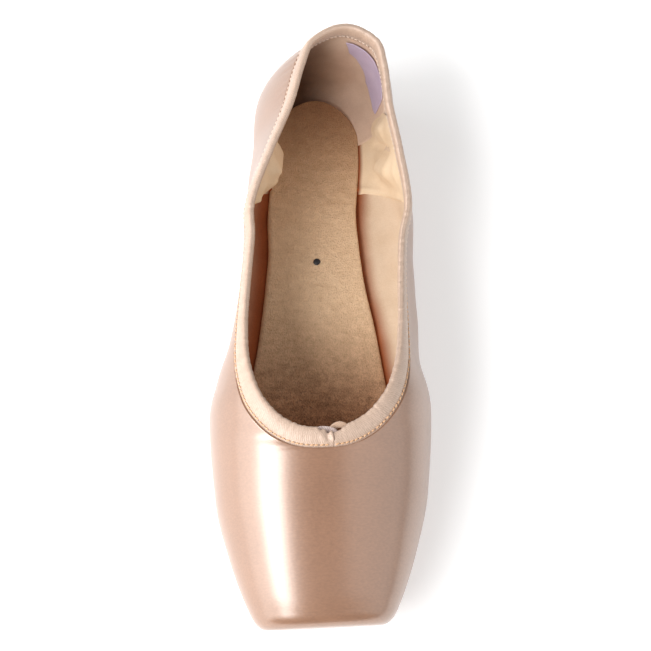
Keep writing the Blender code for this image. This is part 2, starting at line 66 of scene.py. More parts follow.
# The rings of a flat cap, as shares of its rim.
CAP_RINGS = (0.5, 1e-5)
# The scale at which a wave texture's ribs stand one unit apart.
RIB_SCALE = math.pi / 10.0
# The span of a twist over which a thread turns from dark to light.
THREAD_SPAN = (0.2, 0.8)
MIRROR = np.array([-1.0, 1.0, 1.0])
RIPPLE_STRETCH = (0.7, 1.5)
log = logging.getLogger("pointe_shoe")


class Side(Enum):
    """A half of the shoe, by the sign of its across."""

    RIGHT = 1.0
    LEFT = -1.0


def eased(low: float, high: float, value: Array) -> Array:
    """Rises smoothly from 0 at low to 1 at high.

    Args:
        low: Where the rise starts.
        high: Where the rise ends.
        value: The places to read.

    Returns:
        A share between 0 and 1 for each place.
    """
    share = np.clip((np.asarray(value, float) - low) / (high - low), 0.0, 1.0)
    return share * share * (3.0 - 2.0 * share)


def hill(rise: Span, fall: Span, value: Array) -> Array:
    """Rises smoothly from 0 to 1 over the first span and falls back over the second."""
    return eased(*rise, value) * (1.0 - eased(*fall, value))


def bell(distance: Array, width: float) -> Array:
    """A soft hump that falls off over the width."""
    return np.exp(-((distance / width) ** 2))


def unit(vectors: Array) -> Array:
    """The vectors at length 1."""
    return vectors / np.maximum(np.linalg.norm(vectors, axis=-1, keepdims=True), 1e-12)


def boxy(wave: Array, power: float) -> Array:
    """A wave between -1 and 1 with fuller crests and troughs."""
    return np.sign(wave) * np.abs(wave) ** power


def through(rows: Array, place: Array) -> Array:
    """A smooth curve through a row of points.

    Args:
        rows: The points, with one more at each end that only steers the curve.
        place: Where to read it, 0 at the second row and 1 further on for each row.

    Returns:
        A point for each place.
    """
    spot = np.clip(place.astype(int), 0, len(rows) - 4)
    t = (place - spot)[..., None]
    a, b, c, d = (rows[spot + i] for i in range(4))
    bend = (2 * a - 5 * b + 4 * c - d) * t**2 + (3 * b - a - 3 * c + d) * t**3
    return 0.5 * (2 * b + (c - a) * t + bend)


def ripple(place: Array, seed: int, pitch: float, waves: int = 5) -> Array:
    """An uneven wave along a path, like cloth gathered by hand.

    Args:
        place: Distances along the path in millimetres.
        seed: Picks one wave out of many.
        pitch: The usual distance between two crests in millimetres.
        waves: How many waves are added up.

    Returns:
        A height between about -1 and 1 for each place.
    """
    chance = np.random.default_rng(seed)
    total = np.zeros_like(np.asarray(place, float))
    for _ in range(waves):
        stretch = pitch * chance.uniform(*RIPPLE_STRETCH)
        total = total + np.sin(math.tau * (place / stretch + chance.uniform()))
    return total / math.sqrt(2.0 * waves)


class SmoothCurve:
    """A curve through the rows of a table that never overshoots them."""

    STEP = 0.2

    def __init__(self, places: Sequence[float], heights: Sequence[float]) -> None:
        """Fits the curve.

        Args:
            places: Where the rows stand, rising.
            heights: The value of each row.
        """
        x, y = np.array(places, float), np.array(heights, float)
        steps, slopes = np.diff(x), np.diff(y) / np.diff(x)
        tangents = np.zeros(len(x))
        tangents[0], tangents[-1] = slopes[0], slopes[-1]
        product = slopes[:-1] * slopes[1:]
        total = np.where(product > 0, slopes[:-1] + slopes[1:], 1.0)
        tangents[1:-1] = np.where(product > 0, 2 * product / total, 0.0)
        self.places = np.arange(x[0], x[-1] + self.STEP, self.STEP)
        spot = np.clip(np.searchsorted(x, self.places, side="right") - 1, 0, len(steps) - 1)
        t = np.clip((self.places - x[spot]) / steps[spot], 0.0, 1.0)
        self.heights = (
            (2 * t**3 - 3 * t**2 + 1) * y[spot]
            + (t**3 - 2 * t**2 + t) * steps[spot] * tangents[spot]
            + (3 * t**2 - 2 * t**3) * y[spot + 1]
            + (t**3 - t**2) * steps[spot] * tangents[spot + 1]
        )

    def __call__(self, where: Array) -> Array:
        """The curve's height at each place."""
        return np.interp(where, self.places, self.heights)


@dataclass(frozen=True)
class Section:
    """One cross-section of the last, in shares of its length, ball width and instep height."""

    along: float
    width: float
    widest: float
    crown: float
    low_power: float
    high_power: float


@dataclass(frozen=True)
class Edge:
    """A point of the collar: half its opening, its share of the length and its height."""

    across: float
    along: float
    up: float


@dataclass(frozen=True)
class Outline:
    """Half a sole's width at a share of the length."""

    along: float
    half: float


@dataclass
class Last:
    """The foot's form that the shoe is made on."""

    length: float = 244.0
    ball_width: float = 89.0
    instep_height: float = 57.0
    heel_height: float = 52.0
    wall: float = 2.0
    box_wall: float = 4.0
    box_taper: tuple[float, float] = (0.24, 0.42)
    platform_wall: float = 6.5
    platform_round: float = 5.5
    platform_tilt: float = 0.22
    platform_pivot: float = 14.0
    gap: float = 0.3
    sole_thickness: float = 3.0
    arch_rise: float = 4.0
    toe_spring: float = 2.0
    heel_round_from: float = 0.854
    heel_round_power: float = 3.1
    heel_tuck_from: float = 0.937
    heel_tuck_rise: float = 11.0
    heel_lean: float = 11.8
    waist_swing: float = 2.9
    toe_skew: float = 0.04
    binding_top: float = 7.4
    middle_along: float = 120.2
    opening_margin: float = 5.0
    throat_blend: float = 30.0
    throat_turn: Span = (0.08, 0.30)
    throat_pull: float = 1.6
    arch_over: Hill = ((0.42, 0.60), (0.62, 0.80))
    spring_ends: Span = (0.06, 0.16)
    opening_over: Hill = ((0.125, 0.16), (0.885, 0.915))
    lean_from: float = 6.0
    lean_power: float = 0.85
    lean_over: Span = (0.38, 1.03)
    waist_levels: Hill = ((8.0, 18.0), (26.0, 42.0))
    waist_over: Hill = ((0.40, 0.52), (0.68, 0.82))
    heel_draw: float = 1.0
    heel_draw_from: float = 24.0
    heel_draw_over: Span = (0.80, 1.0)
    tilt_until: float = 0.22
    skew_ends: Span = (0.30, 0.60)
    sock_thickness: float = 3.2
    sock_edge: float = 1.2
    probe_angle: float = 2.0
    probe_along: float = 1.0
    sections: tuple[Section, ...] = (
        Section(0.019, 0.630, 17.0, 0.600, 2.5, 2.6),
        Section(0.050, 0.705, 17.0, 0.670, 2.7, 2.5),
        Section(0.115, 0.825, 17.5, 0.790, 3.0, 2.3),
        Section(0.212, 0.950, 18.0, 0.930, 3.2, 2.2),
        Section(0.346, 1.000, 18.5, 1.090, 3.2, 2.2),
        Section(0.467, 0.865, 19.5, 1.220, 3.2, 2.2),
        Section(0.542, 0.815, 20.5, 1.290, 3.1, 2.2),
        Section(0.640, 0.785, 21.5, 1.360, 3.0, 2.2),
        Section(0.705, 0.770, 21.5, 1.395, 3.0, 2.2),
        Section(0.770, 0.705, 21.5, 1.440, 2.9, 2.2),
        Section(0.860, 0.640, 21.5, 1.490, 2.8, 2.2),
        Section(1.000, 0.650, 21.5, 1.550, 2.7, 2.2),
    )
    collar: tuple[Edge, ...] = (
        Edge(0.0, 0.2475, 55.0),
        Edge(11.0, 0.2530, 54.5),
        Edge(20.2, 0.2733, 53.1),
        Edge(26.8, 0.3010, 52.3),
        Edge(31.6, 0.3385, 50.5),
        Edge(34.3, 0.3960, 47.0),
        Edge(34.2, 0.4670, 43.5),
        Edge(33.2, 0.5420, 41.0),
        Edge(32.6, 0.6250, 40.5),
        Edge(33.8, 0.6900, 42.0),
        Edge(28.6, 0.7750, 45.0),
        Edge(22.4, 0.8600, 48.5),
        Edge(18.9, 0.9300, 50.5),
        Edge(14.0, 0.9760, 51.5),
        Edge(0.0, 1.0000, 52.0),
    )
    sole: tuple[Outline, ...] = (
        Outline(0.080, 15.0),
        Outline(0.160, 24.0),
        Outline(0.290, 29.5),
        Outline(0.390, 28.0),
        Outline(0.500, 20.0),
        Outline(0.610, 16.0),
        Outline(0.730, 16.5),
        Outline(0.860, 19.5),
        Outline(0.955, 18.0),
    )
    curves: dict[str, SmoothCurve] = field(init=False)

    def __post_init__(self) -> None:
        """Fits one curve through each column of the table of sections."""
        places = [row.along * self.length for row in self.sections]
        names = ("width", "widest", "crown", "low_power", "high_power")
        self.curves = {n: SmoothCurve(places, [getattr(row, n) for row in self.sections]) for n in names}
        self.curves["sole"] = self.outline_curve(self.sole)

    def outline_curve(self, rows: Sequence[Outline]) -> SmoothCurve:
        """The half width of an outline as a curve along the shoe."""
        return SmoothCurve([row.along * self.length for row in rows], [row.half for row in rows])

    def sole_plan(self, rows: Sequence[Outline], toe: float, heel: float, count: int) -> tuple[Array, Array]:
        """The plan of a sole with rounded ends.

        Args:
            rows: The outline's half widths.
            toe: Length of the rounding at the toe in millimetres.
            heel: Length of the rounding at the heel in millimetres.
            count: How many places to give, closer together near the ends.

        Returns:
            Places along the sole, and its half width at each.
        """
        first, final = rows[0].along * self.length, rows[-1].along * self.length
        turn = np.linspace(0.0, math.pi, count)
        along = (first + final) / 2 - (final - first) / 2 * np.cos(turn)
        front = 1.0 - np.minimum(1.0, (along - first) / toe)
        back = 1.0 - np.minimum(1.0, (final - along) / heel)
        ends = np.sqrt(1.0 - front**2) * np.sqrt(1.0 - back**2)
        return along, self.outline_curve(rows)(along) * ends

    @property
    def throat(self) -> float:
        """Where the collar starts, back from the platform."""
        return self.collar[0].along * self.length

    def sole_rise(self, along: Array) -> Array:
        """Height of the outsole's underside."""
        place = along / self.length
        arch = self.arch_rise * hill(*self.arch_over, place)
        return arch + self.toe_spring * (1.0 - eased(*self.spring_ends, place))

    def underside(self, along: Array) -> Array:
        """Height of the satin's underside on the centre line."""
        place = np.minimum(1.0, along / self.length)
        tuck = np.maximum(0.0, (place - self.heel_tuck_from) / (1.0 - self.heel_tuck_from))
        lift = self.heel_tuck_rise * (1.0 - np.sqrt(np.maximum(0.0, 1.0 - tuck * tuck)))
        return self.sole_rise(along) + self.sole_thickness + self.gap + lift

    def half_width(self, along: Array) -> Array:
        """Half the outer width, with the round plan of the heel."""
        share = (along / self.length - self.heel_round_from) / (1.0 - self.heel_round_from)
        share = np.clip(share, 0.0, 1.0)
        heel = np.maximum(0.0, 1.0 - share**self.heel_round_power) ** (1 / self.heel_round_power)
        return self.curves["width"](along) * self.ball_width / 2 * heel

    def crown(self, along: Array) -> Array:
        """Height of the last's top line."""
        return self.curves["crown"](along) * self.instep_height

    def section_point(self, along: Array, angle: Array) -> Array:
        """The point of a section at an angle from -90 degrees, under, to 90 degrees, on the crown."""
        along, angle = np.broadcast_arrays(along, angle)
        below = angle < 0
        widest = self.curves["widest"](along)
        power = np.where(below, self.curves["low_power"](along), self.curves["high_power"](along))
        reach = np.where(below, self.underside(along), self.crown(along)) - widest
        turn = np.radians(angle)
        across = self.half_width(along) * np.maximum(0.0, np.cos(turn)) ** (2 / power)
        return np.stack([across, along, widest + reach * np.abs(np.sin(turn)) ** (2 / power)], -1)

    def collar_point(self, share: Array) -> Array:
        """The stitched edge of the satin, from the throat at 0 to the back seam at 1."""
        rows = np.array([(e.across, e.along * self.length, e.up) for e in self.collar])
        rows = np.concatenate([[rows[1] * MIRROR], rows, [rows[-2] * MIRROR]])
        edge = through(rows, np.asarray(share, float) * (len(self.collar) - 1))
        edge[..., 1] = np.minimum(self.length, edge[..., 1])
        return edge

    def collar_measure(self, count: int) -> tuple[Array, Array, Array]:
        """Shares of the way round the collar, its edge there, and the millimetres from the throat."""
        shares = np.linspace(0.0, 1.0, count)
        edge = self.collar_point(shares)
        steps = np.linalg.norm(np.diff(edge, axis=0), axis=1)
        return shares, edge, np.concatenate([[0.0], np.cumsum(steps)])

    def lowest_angle(self, along: Array) -> Array:
        """The section angle at the edge of the opening underneath."""
        place = along / self.length
        ends = hill(*self.opening_over, place)
        half = np.maximum(0.0, self.curves["sole"](along) - self.opening_margin) * ends
        reach = np.minimum(1.0, half / np.maximum(HAIR, self.half_width(along)))
        angle = -np.degrees(np.arccos(reach ** (self.curves["low_power"](along) / 2)))
        return np.where(half > 0, angle, -90.0)

    def top_angle(self, top: Array, share: Array) -> Array:
        """The section angle nearest the collar's point top."""
        along, up = top[..., 1], top[..., 2]
        power = self.curves["high_power"](along) / 2
        widest = self.curves["widest"](along)
        level = np.minimum(1.0, (up - widest) / (self.crown(along) - widest))
        by_height = np.degrees(np.arcsin(level**power))
        half = np.maximum(1e-9, self.half_width(along))
        by_width = np.degrees(np.arccos(np.clip(top[..., 0] / half, 0.0, 1.0) ** power))
        return by_width + (by_height - by_width) * eased(*self.throat_turn, share)

    def normal(self, along: Array, angle: Array) -> Array:
        """The outward direction of the last's surface."""
        turn, step = self.probe_angle, self.probe_along
        along = np.minimum(self.length - step, along)
        angle = np.clip(angle, turn - 90.0, 90.0 - turn)
        upward = self.section_point(along, angle + turn) - self.section_point(along, angle - turn)
        backward = self.section_point(along + step, angle) - self.section_point(along - step, angle)
        return unit(np.cross(backward, upward))

    def wall_at(self, along: Array) -> Array:
        """Thickness of the wall: stiff and thick in the box, thin along the quarters."""
        return self.box_wall + (self.wall - self.box_wall) * eased(*self.box_taper, along / self.length)

    def skin(self, stations: Array, rows: Array) -> tuple[Array, Array]:
        """The right half of the upper's outer face as a grid.

        Args:
            stations: -1 behind the platform, 0 at the throat and 1 at the back seam.
            rows: 0 under the foot and 1 on the crown or at the collar.

        Either is one row of numbers, or both are full grids.

        Returns:
            The points and the outward directions, stations by rows.
        """
        t, v = np.asarray(stations, float), np.asarray(rows, float)
        if t.ndim == 1:
            t, v = np.broadcast_arrays(t[:, None], v[None, :])
        vamp = t < 0
        share = np.clip(t, 0.0, 1.0)
        reach = np.where(vamp, self.throat - self.platform_round, self.length - self.throat)
        foot = self.throat + t * reach
        edge = self.collar_point(share)
        high = np.where(vamp, 90.0, self.top_angle(edge, share))
        head = np.where(vamp, foot, edge[..., 1])
        lead = edge - self.section_point(np.where(vamp, self.throat, head), high)
        shift = lead * (1.0 - eased(0.0, self.throat_blend, self.throat - head))[..., None]
        low = self.lowest_angle(foot)
        angle = low + (high - low) * v
        along = foot + (head - foot) * v
        pull = np.maximum(0.0, angle / high)[..., None] ** self.throat_pull
        points = self.section_point(along, angle) + shift * pull
        outward = self.normal(along, angle)
        outward[..., 0] = np.where(points[..., 0] < HAIR, 0.0, outward[..., 0])
        return points, unit(outward)

    def settle(self, points: Array) -> Array:
        """The places in the model, in metres, of points given in millimetres of the last."""
        across, along, up = points[..., 0], points[..., 1], points[..., 2]
        place = along / self.length
        climb = np.maximum(0.0, up - self.lean_from) / self.heel_height
        lean = self.heel_lean * climb**self.lean_power * eased(*self.lean_over, place)
        swell = self.waist_swing * hill(*self.waist_levels, up) * hill(*self.waist_over, place)
        high = eased(self.heel_draw_from, self.heel_height + self.binding_top, up)
        drawn = self.heel_draw * high * eased(*self.heel_draw_over, place)
        tilt = self.platform_tilt * (up - self.platform_pivot) * (1.0 - eased(0.0, self.tilt_until, place))
        skew = self.toe_skew * across * (1.0 - eased(*self.skew_ends, place))
        back = along + skew - drawn - tilt - self.middle_along
        return np.stack([across + lean + swell, back, up], -1) * MM

    def bed_height(self, along: Array, across: Array) -> Array:
        """Height of the upper's inner face under the foot."""
        inner = self.half_width(along) - self.wall_at(along)
        power = self.curves["low_power"](along)
        widest = self.curves["widest"](along)
        depth = widest - self.underside(along) - self.wall_at(along)
        share = np.minimum(1.0, np.abs(across) / np.maximum(inner, 1e-6))
        return widest - depth * (1.0 - share**power) ** (1 / power)

    def sock_top(self, along: Array, edge: Array) -> Array:
        """Height of the sock's upper face at a distance from the centre line."""
        thick = self.bed_height(along, np.zeros_like(along)) + self.sock_thickness
        return 2 * self.gap + np.maximum(thick, self.bed_height(along, edge) + self.sock_edge)


def mirrored(points: Array, side: Side) -> Array:
    """The points on one side of the shoe, given on its right."""
    return points * np.array([side.value, 1.0, 1.0])


@dataclass(frozen=True)
class Fold:
    """A soft trough or ridge on one side of the shoe, its path given as (along, up) in millimetres."""

    side: Side
    path: tuple[Span, ...]
    width: float
    height: float
    fading: Hill = ((0.0, 0.25), (0.75, 1.0))
    least: float = 0.4

    def lift(self, points: Array, side: Side) -> Array:
        """How far the fold moves each point outwards.

        Args:
            points: The places on the last.
            side: The half of the shoe that the points lie on.

        Returns:
            Millimetres outwards for each point.
        """
        if self.side is not side:
            return np.zeros(points.shape[:-1])
        flat = points[..., 1:]
        nearest = np.full(points.shape[:-1], np.inf)
        way = np.zeros(points.shape[:-1])
        pieces = len(self.path) - 1
        for i in range(pieces):
            start = np.array(self.path[i])
            run = np.array(self.path[i + 1]) - start
            t = np.clip(((flat - start) @ run) / (run @ run), 0.0, 1.0)
            distance = np.linalg.norm(flat - (start + t[..., None] * run), axis=-1)
            closer = distance < nearest
            nearest = np.where(closer, distance, nearest)
            way = np.where(closer, (i + t) / pieces, way)
        strength = self.least + (1.0 - self.least) * hill(*self.fading, way)
        return self.height * bell(nearest, self.width) * strength


class Cutter:
    """Makes Blender meshes out of grids of points."""

    @staticmethod
    def patch(points: Array, uv: Array, around: bool = False) -> Patch:
        """Faces of one grid.

        Args:
            points: Rows by columns by 3.
            uv: Rows by columns by 2.
            around: True where the last column meets the first.

        Returns:
            The points, the faces and the uv of each face's corners.
        """
        rows, columns = points.shape[:2]
        index = np.arange(rows * columns).reshape(rows, columns)
        if around:
            index = np.concatenate([index, index[:, :1]], 1)
            uv = np.concatenate([uv, uv[:, :1] + (uv[:, -1:] - uv[:, -2:-1])], 1)
        faces = np.stack([index[:-1, :-1], index[1:, :-1], index[1:, 1:], index[:-1, 1:]], -1)
        corners = np.stack([uv[:-1, :-1], uv[1:, :-1], uv[1:, 1:], uv[:-1, 1:]], -2)
        return points.reshape(-1, 3), faces.reshape(-1, 4), corners.reshape(-1, 2)

    @classmethod
    def sew(
        cls,
        name: str,
        patches: Sequence[Patch],
        finish: Material,
        weld: float = 1e-6,
    ) -> bpy.types.Object:
        """Joins the patches into one smooth object.

        Args:
            name: The object's name.
            patches: What patch returned for each grid.
            finish: The material.
            weld: Points nearer than this, in metres, become one.

        Returns:
            The object, linked to the scene.
        """
        points, faces, corners, start = [], [], [], 0
        for place, face, corner in patches:
            points.append(place)
            faces.append(face + start)
            corners.append(corner)
            start += len(place)
        mesh = bpy.data.meshes.new(name)
        mesh.from_pydata(np.concatenate(points).tolist(), [], np.concatenate(faces).tolist())
        layer = mesh.uv_layers.new(name="cloth")
        layer.data.foreach_set("uv", np.concatenate(corners).astype(np.float32).ravel())
        work = bmesh.new()
        work.from_mesh(mesh)
        bmesh.ops.remove_doubles(work, verts=work.verts, dist=weld)
        bmesh.ops.dissolve_degenerate(work, edges=work.edges, dist=weld)
        bmesh.ops.recalc_face_normals(work, faces=work.faces)
        work.to_mesh(mesh)
        work.free()
        mesh.materials.append(finish)
        mesh.shade_smooth()
        made = bpy.data.objects.new(name, mesh)
        bpy.context.scene.collection.objects.link(made)
        return made

    @staticmethod
    def cap(ring: Array) -> Patch:
        """A flat fan that closes a ring of points, as a grid that shrinks to the middle."""
        middle = ring.mean(0, keepdims=True)
        grid = np.stack([ring, *(middle + (ring - middle) * share for share in CAP_RINGS)])
        grid = np.concatenate([grid, grid[:, :1]], 1)
        return Cutter.patch(grid, grid[..., :2])

    @classmethod
    def band(cls, rings: Array, uv: Array) -> list[Patch]:
        """A closed band of rings with a flat cap at each end."""
        return [cls.patch(rings, uv, around=True), cls.cap(rings[0]), cls.cap(rings[-1])]


@dataclass(frozen=True)
class Ink:
    """Two colours that a finish varies between, and the span of its pattern over which it does."""

    dark: Colour
    light: Colour
    over: Span = (0.3, 0.7)


class Pattern(Enum):
    """The look of one layer of a finish, by the texture that draws it."""

    CLOUDS = "TexNoise"
    RIBS = "TexWave"
    CELLS = "TexVoronoi"


@dataclass(frozen=True)
class Layer:
    """One layer of a finish.

    repeats counts its marks to the metre in three directions, those of the cloth if by_cloth is set. tone and
    relief are its shares in the colour and in the height. slant, in degrees, and waver are for ribs.
    """

    repeats: tuple[float, float, float]
    tone: float = 0.0
    relief: float = 0.0
    detail: float = 3.0
    harshness: float = 0.5
    pattern: Pattern = Pattern.CLOUDS
    by_cloth: bool = False
    slant: float = 0.0
    waver: float = 0.0


@dataclass(frozen=True)
class Shift:
    """Another ink, on one side of a soft step between two places on an axis, in metres."""

    ink: Ink
    axis: str
    over: Span
    before: bool = True
    by_cloth: bool = False


class Dye:
    """Builds the nodes of one procedural material."""

    def __init__(self, name: str) -> None:
        """Starts a material with an empty shader."""
        self.material = bpy.data.materials.new(name)
        self.material.use_nodes = True
        self.tree = self.material.node_tree
        self.shader = self.tree.nodes["Principled BSDF"]

    def fill(self, node: bpy.types.Node, inputs: dict[str | int, object]) -> None:
        """Sets or links a node's inputs, each known by its name or number."""
        for key, value in inputs.items():
            if isinstance(value, bpy.types.NodeSocket):
                self.tree.links.new(value, node.inputs[key])
            elif isinstance(value, tuple) and node.inputs[key].type == "RGBA":
                node.inputs[key].default_value = (*value, 1.0)
            else:
                node.inputs[key].default_value = value

    def node(self, kind: str, inputs: dict[str | int, object], **values: object) -> bpy.types.Node:
        """Adds a node, sets its properties and fills its inputs."""
        made = self.tree.nodes.new("ShaderNode" + kind)
        for key, value in values.items():
            setattr(made, key, value)
        self.fill(made, inputs)
        return made

    def place(self, by_cloth: bool) -> Socket:
        """The cloth's own directions, or the object's."""
        return self.node("TexCoord", {}).outputs["UV" if by_cloth else "Object"]

    def draw(self, layer: Layer) -> Socket:
        """One layer's pattern as a value between 0 and 1."""
        turned = (0.0, 0.0, math.radians(layer.slant))
        mapping = {"Vector": self.place(layer.by_cloth), "Scale": layer.repeats, "Rotation": turned}
        where = {"Vector": self.node("Mapping", mapping).outputs["Vector"]}
        kind = layer.pattern.value
        if layer.pattern is Pattern.CELLS:
            cells = self.node(kind, where | {"Scale": 1.0}, feature="DISTANCE_TO_EDGE")
            return cells.outputs["Distance"]
        if layer.pattern is Pattern.RIBS:
            ribs = where | {"Scale": RIB_SCALE, "Distortion": layer.waver, "Detail": 1.0}
            return self.node(kind, ribs, wave_type="BANDS", bands_direction="X").outputs["Fac"]
        clouds = where | {"Scale": 1.0, "Detail": layer.detail, "Roughness": layer.harshness}
        return self.node(kind, clouds).outputs["Fac"]

    def step(self, shift: Shift) -> Socket:
        """A value that rises softly from 0 to 1 across a shift's two places."""
        apart = self.node("SeparateXYZ", {0: self.place(shift.by_cloth)})
        low, high = shift.over
        ends = {"Value": apart.outputs[shift.axis], "From Min": low, "From Max": high}
        return self.node("MapRange", ends, interpolation_type="SMOOTHSTEP").outputs["Result"]

    def blend(self, share: Socket, first: Socket, second: Socket) -> Socket:
        """The first colour where the share is 0 and the second where it is 1."""
        return self.node("Mix", {0: share, 6: first, 7: second}, data_type="RGBA").outputs[2]

    def sum(self, values: Sequence[Socket], weights: Sequence[float]) -> Socket:
        """The weighted sum of several values, without those of no weight."""
        total: Socket | float = 0.0
        for value, weight in zip(values, weights):
            if weight > 0:
                terms = {0: value, 1: weight, 2: total}
                total = self.node("Math", terms, operation="MULTIPLY_ADD").outputs[0]
        return total

    def shades(self, value: Socket, ink: Ink) -> Socket:
        """A value turned into an ink's colours."""
        ramp = self.node("ValToRGB", {"Fac": value})
        for element, place, colour in zip(ramp.color_ramp.elements, ink.over, (ink.dark, ink.light)):
            element.position = place
            element.color = (*colour, 1.0)
        return ramp.outputs["Color"]


@dataclass(frozen=True)
class Finish:
    """A material: its ink, its layers and how many metres deep they press into the surface.

    The roughness varies with the first layer where uneven says how far below and above it goes. looks holds
    the shader's other values.
    """

    name: str
    ink: Ink
    rough: float
    layers: tuple[Layer, ...]
    depth: float = 0.0
    uneven: Span | None = None
    shifts: tuple[Shift, ...] = ()
    looks: dict[str, float | Colour] = field(default_factory=dict)

    def mix(self) -> Material:
        """The material."""
        dye = Dye(self.name)
        dye.fill(dye.shader, {"Roughness": self.rough} | self.looks)
        values = [dye.draw(layer) for layer in self.layers]
        tone = dye.sum(values, [layer.tone for layer in self.layers])
        tint = dye.shades(tone, self.ink)
        for shift in self.shifts:
            other = dye.shades(tone, shift.ink)
            pair = (other, tint) if shift.before else (tint, other)
            tint = dye.blend(dye.step(shift), *pair)
        dye.fill(dye.shader, {"Base Color": tint})
        if self.uneven is not None:
            less, more = self.uneven
            ends = {"Value": values[0], "To Min": self.rough - less, "To Max": self.rough + more}
            dye.fill(dye.shader, {"Roughness": dye.node("MapRange", ends).outputs["Result"]})
        if self.depth > 0:
            height = dye.sum(values, [layer.relief for layer in self.layers])
            bump = dye.node("Bump", {"Height": height, "Strength": 1.0, "Distance": self.depth})
            normal = bump.outputs["Normal"]
            dye.fill(dye.shader, {"Normal": normal, "Coat Normal": normal})
        return dye.material


def satin() -> Finish:
    """Shiny satin: a saturated ground under a broad white gloss, woven too fine to count."""
    slub = Layer((700.0, 1500.0, 1100.0), tone=0.7, relief=1.0, detail=2.0)
    cloud = Layer((60.0, 60.0, 60.0), tone=0.3, detail=4.0)
    coat = {"Coat Weight": 0.6, "Coat IOR": 1.8, "Coat Roughness": 0.28}
    return Finish(
        "satin",
        Ink((0.228, 0.104, 0.052), (0.296, 0.140, 0.072), (0.34, 0.66)),
        0.31,
        (slub, cloud),
        depth=0.000018,
        uneven=(0.02, 0.02),
        looks={"IOR": 2.15, "Specular Tint": (1.0, 0.88, 0.80)} | coat,
    )


def tape(pitch: float = 0.0007) -> Finish:
    """Matt twill tape, with fine slanting ribs that catch the light."""
    fine = (1.0 / pitch, 1.0 / pitch, 1.0)
    fleck = Layer((2200.0, 2200.0, 1.0), tone=0.64, relief=1.0, detail=2.0, by_cloth=True)
    rib = Layer(fine, tone=0.18, relief=0.2, pattern=Pattern.RIBS, by_cloth=True, slant=38.0, waver=1.5)
    cloud = Layer((260.0, 200.0, 1.0), tone=0.33, relief=0.8, by_cloth=True)
    sheen = {"Sheen Weight": 0.3, "Sheen Roughness": 0.45, "Sheen Tint": (1.0, 0.94, 0.90)}
    return Finish(
        "binding_tape",
        Ink((0.440, 0.300, 0.216), (0.640, 0.464, 0.358), (0.38, 0.74)),
        0.45,
        (fleck, rib, cloud),
        depth=0.00016,
        uneven=(0.12, 0.1),
        looks={"IOR": 1.7} | sheen,
    )


def cotton(name: str, ink: Ink, rough: float, pitch: float = 0.0006, painted_shade: Shift | None = None) -> Finish:
    """Plain cotton, a soft weave with faint creases, its threads a pitch in metres apart."""
    fine = 1.0 / pitch
    weave = Layer((fine, fine, fine), tone=0.3, relief=0.6, detail=1.0)
    cloud = Layer((90.0, 90.0, 90.0), tone=0.7, relief=1.5, detail=5.0)
    sheen = {"Sheen Weight": 0.35, "Sheen Roughness": 0.5, "Sheen Tint": ink.light}
    # painted_shade, when given, is a second ink blended in by place as painted shade, not a real stain.
    shifts = () if painted_shade is None else (painted_shade,)
    looks = {"Specular IOR Level": 0.25} | sheen
    return Finish(name, ink, rough, (weave, cloud), depth=0.00012, shifts=shifts, looks=looks)


def felt() -> Finish:
    """Brushed sock felt with a short nap that lies in patches, with painted shade that makes it browner under
    the vamp and at the heel.
    """
    painted_throat_shade = Ink((0.170, 0.062, 0.024), (0.560, 0.275, 0.150), (0.41, 0.60))
    painted_heel_shade = Ink((0.330, 0.160, 0.075), (0.500, 0.265, 0.130), (0.32, 0.66))
    nap = Layer((380.0, 380.0, 380.0), tone=0.35, relief=1.0, detail=6.0, harshness=0.7)
    brushed = Layer((110.0, 330.0, 150.0), tone=0.25, relief=0.8, detail=5.0, harshness=0.65)
    fibre = Layer((2600.0, 1400.0, 2000.0), tone=0.4, relief=0.7, detail=2.0)
    sheen = {"Sheen Weight": 0.2, "Sheen Roughness": 0.5, "Sheen Tint": (0.95, 0.80, 0.66)}
    return Finish(
        "sock_felt",
        Ink((0.600, 0.395, 0.235), (0.900, 0.660, 0.440), (0.32, 0.66)),
        0.92,
        (nap, brushed, fibre),
        depth=0.0008,
        # Painted shade: the throat end stands for the vamp's shadow on the felt, the heel end for the heel
        # wall's shadow.
        shifts=(Shift(painted_throat_shade, "Y", (-0.046, 0.022)), Shift(painted_heel_shade, "Y", (0.050, 0.122), before=False)),
        looks={"Specular IOR Level": 0.15} | sheen,
    )


def leather() -> Finish:
    """Pale sole leather with a fine grain."""
    cloud = Layer((45.0, 30.0, 45.0), tone=1.0, relief=1.0, detail=6.0, harshness=0.6)
    grain = Layer((1400.0, 1400.0, 1400.0), relief=0.8, pattern=Pattern.CELLS)
    ink = Ink((0.42, 0.27, 0.16), (0.60, 0.43, 0.29))
    looks = {"Specular IOR Level": 0.4}
    return Finish("sole_leather", ink, 0.72, (cloud, grain), depth=0.00018, uneven=(0.1, 0.1), looks=looks)


def thread(name: str, ink: Ink, rough: float, pitch: float = 0.0004, faded: Shift | None = None) -> Finish:
    """Twisted thread, its twists a pitch in metres apart, which may turn paler towards the heel."""
    fine = (1.0 / pitch, 1.0 / pitch, 1.0)
    twist = Layer(fine, tone=0.5, relief=1.0, pattern=Pattern.RIBS, by_cloth=True, slant=35.0)
    cloud = Layer((400.0, 400.0, 400.0), tone=0.5)
    shifts = () if faded is None else (faded,)
    looks = {"Specular IOR Level": 0.4, "Sheen Weight": 0.3}
    return Finish(name, ink, rough, (twist, cloud), depth=0.00005, shifts=shifts, looks=looks)


def lacquer(name: str, ink: Ink, rough: float) -> Finish:
    """Thin black paint on a metal head, or the dark shells of painted shade inside the needle holes."""
    cloud = Layer((900.0, 900.0, 900.0), tone=1.0, relief=1.0)
    return Finish(name, ink, rough, (cloud,), depth=0.00002, uneven=(0.1, 0.1))


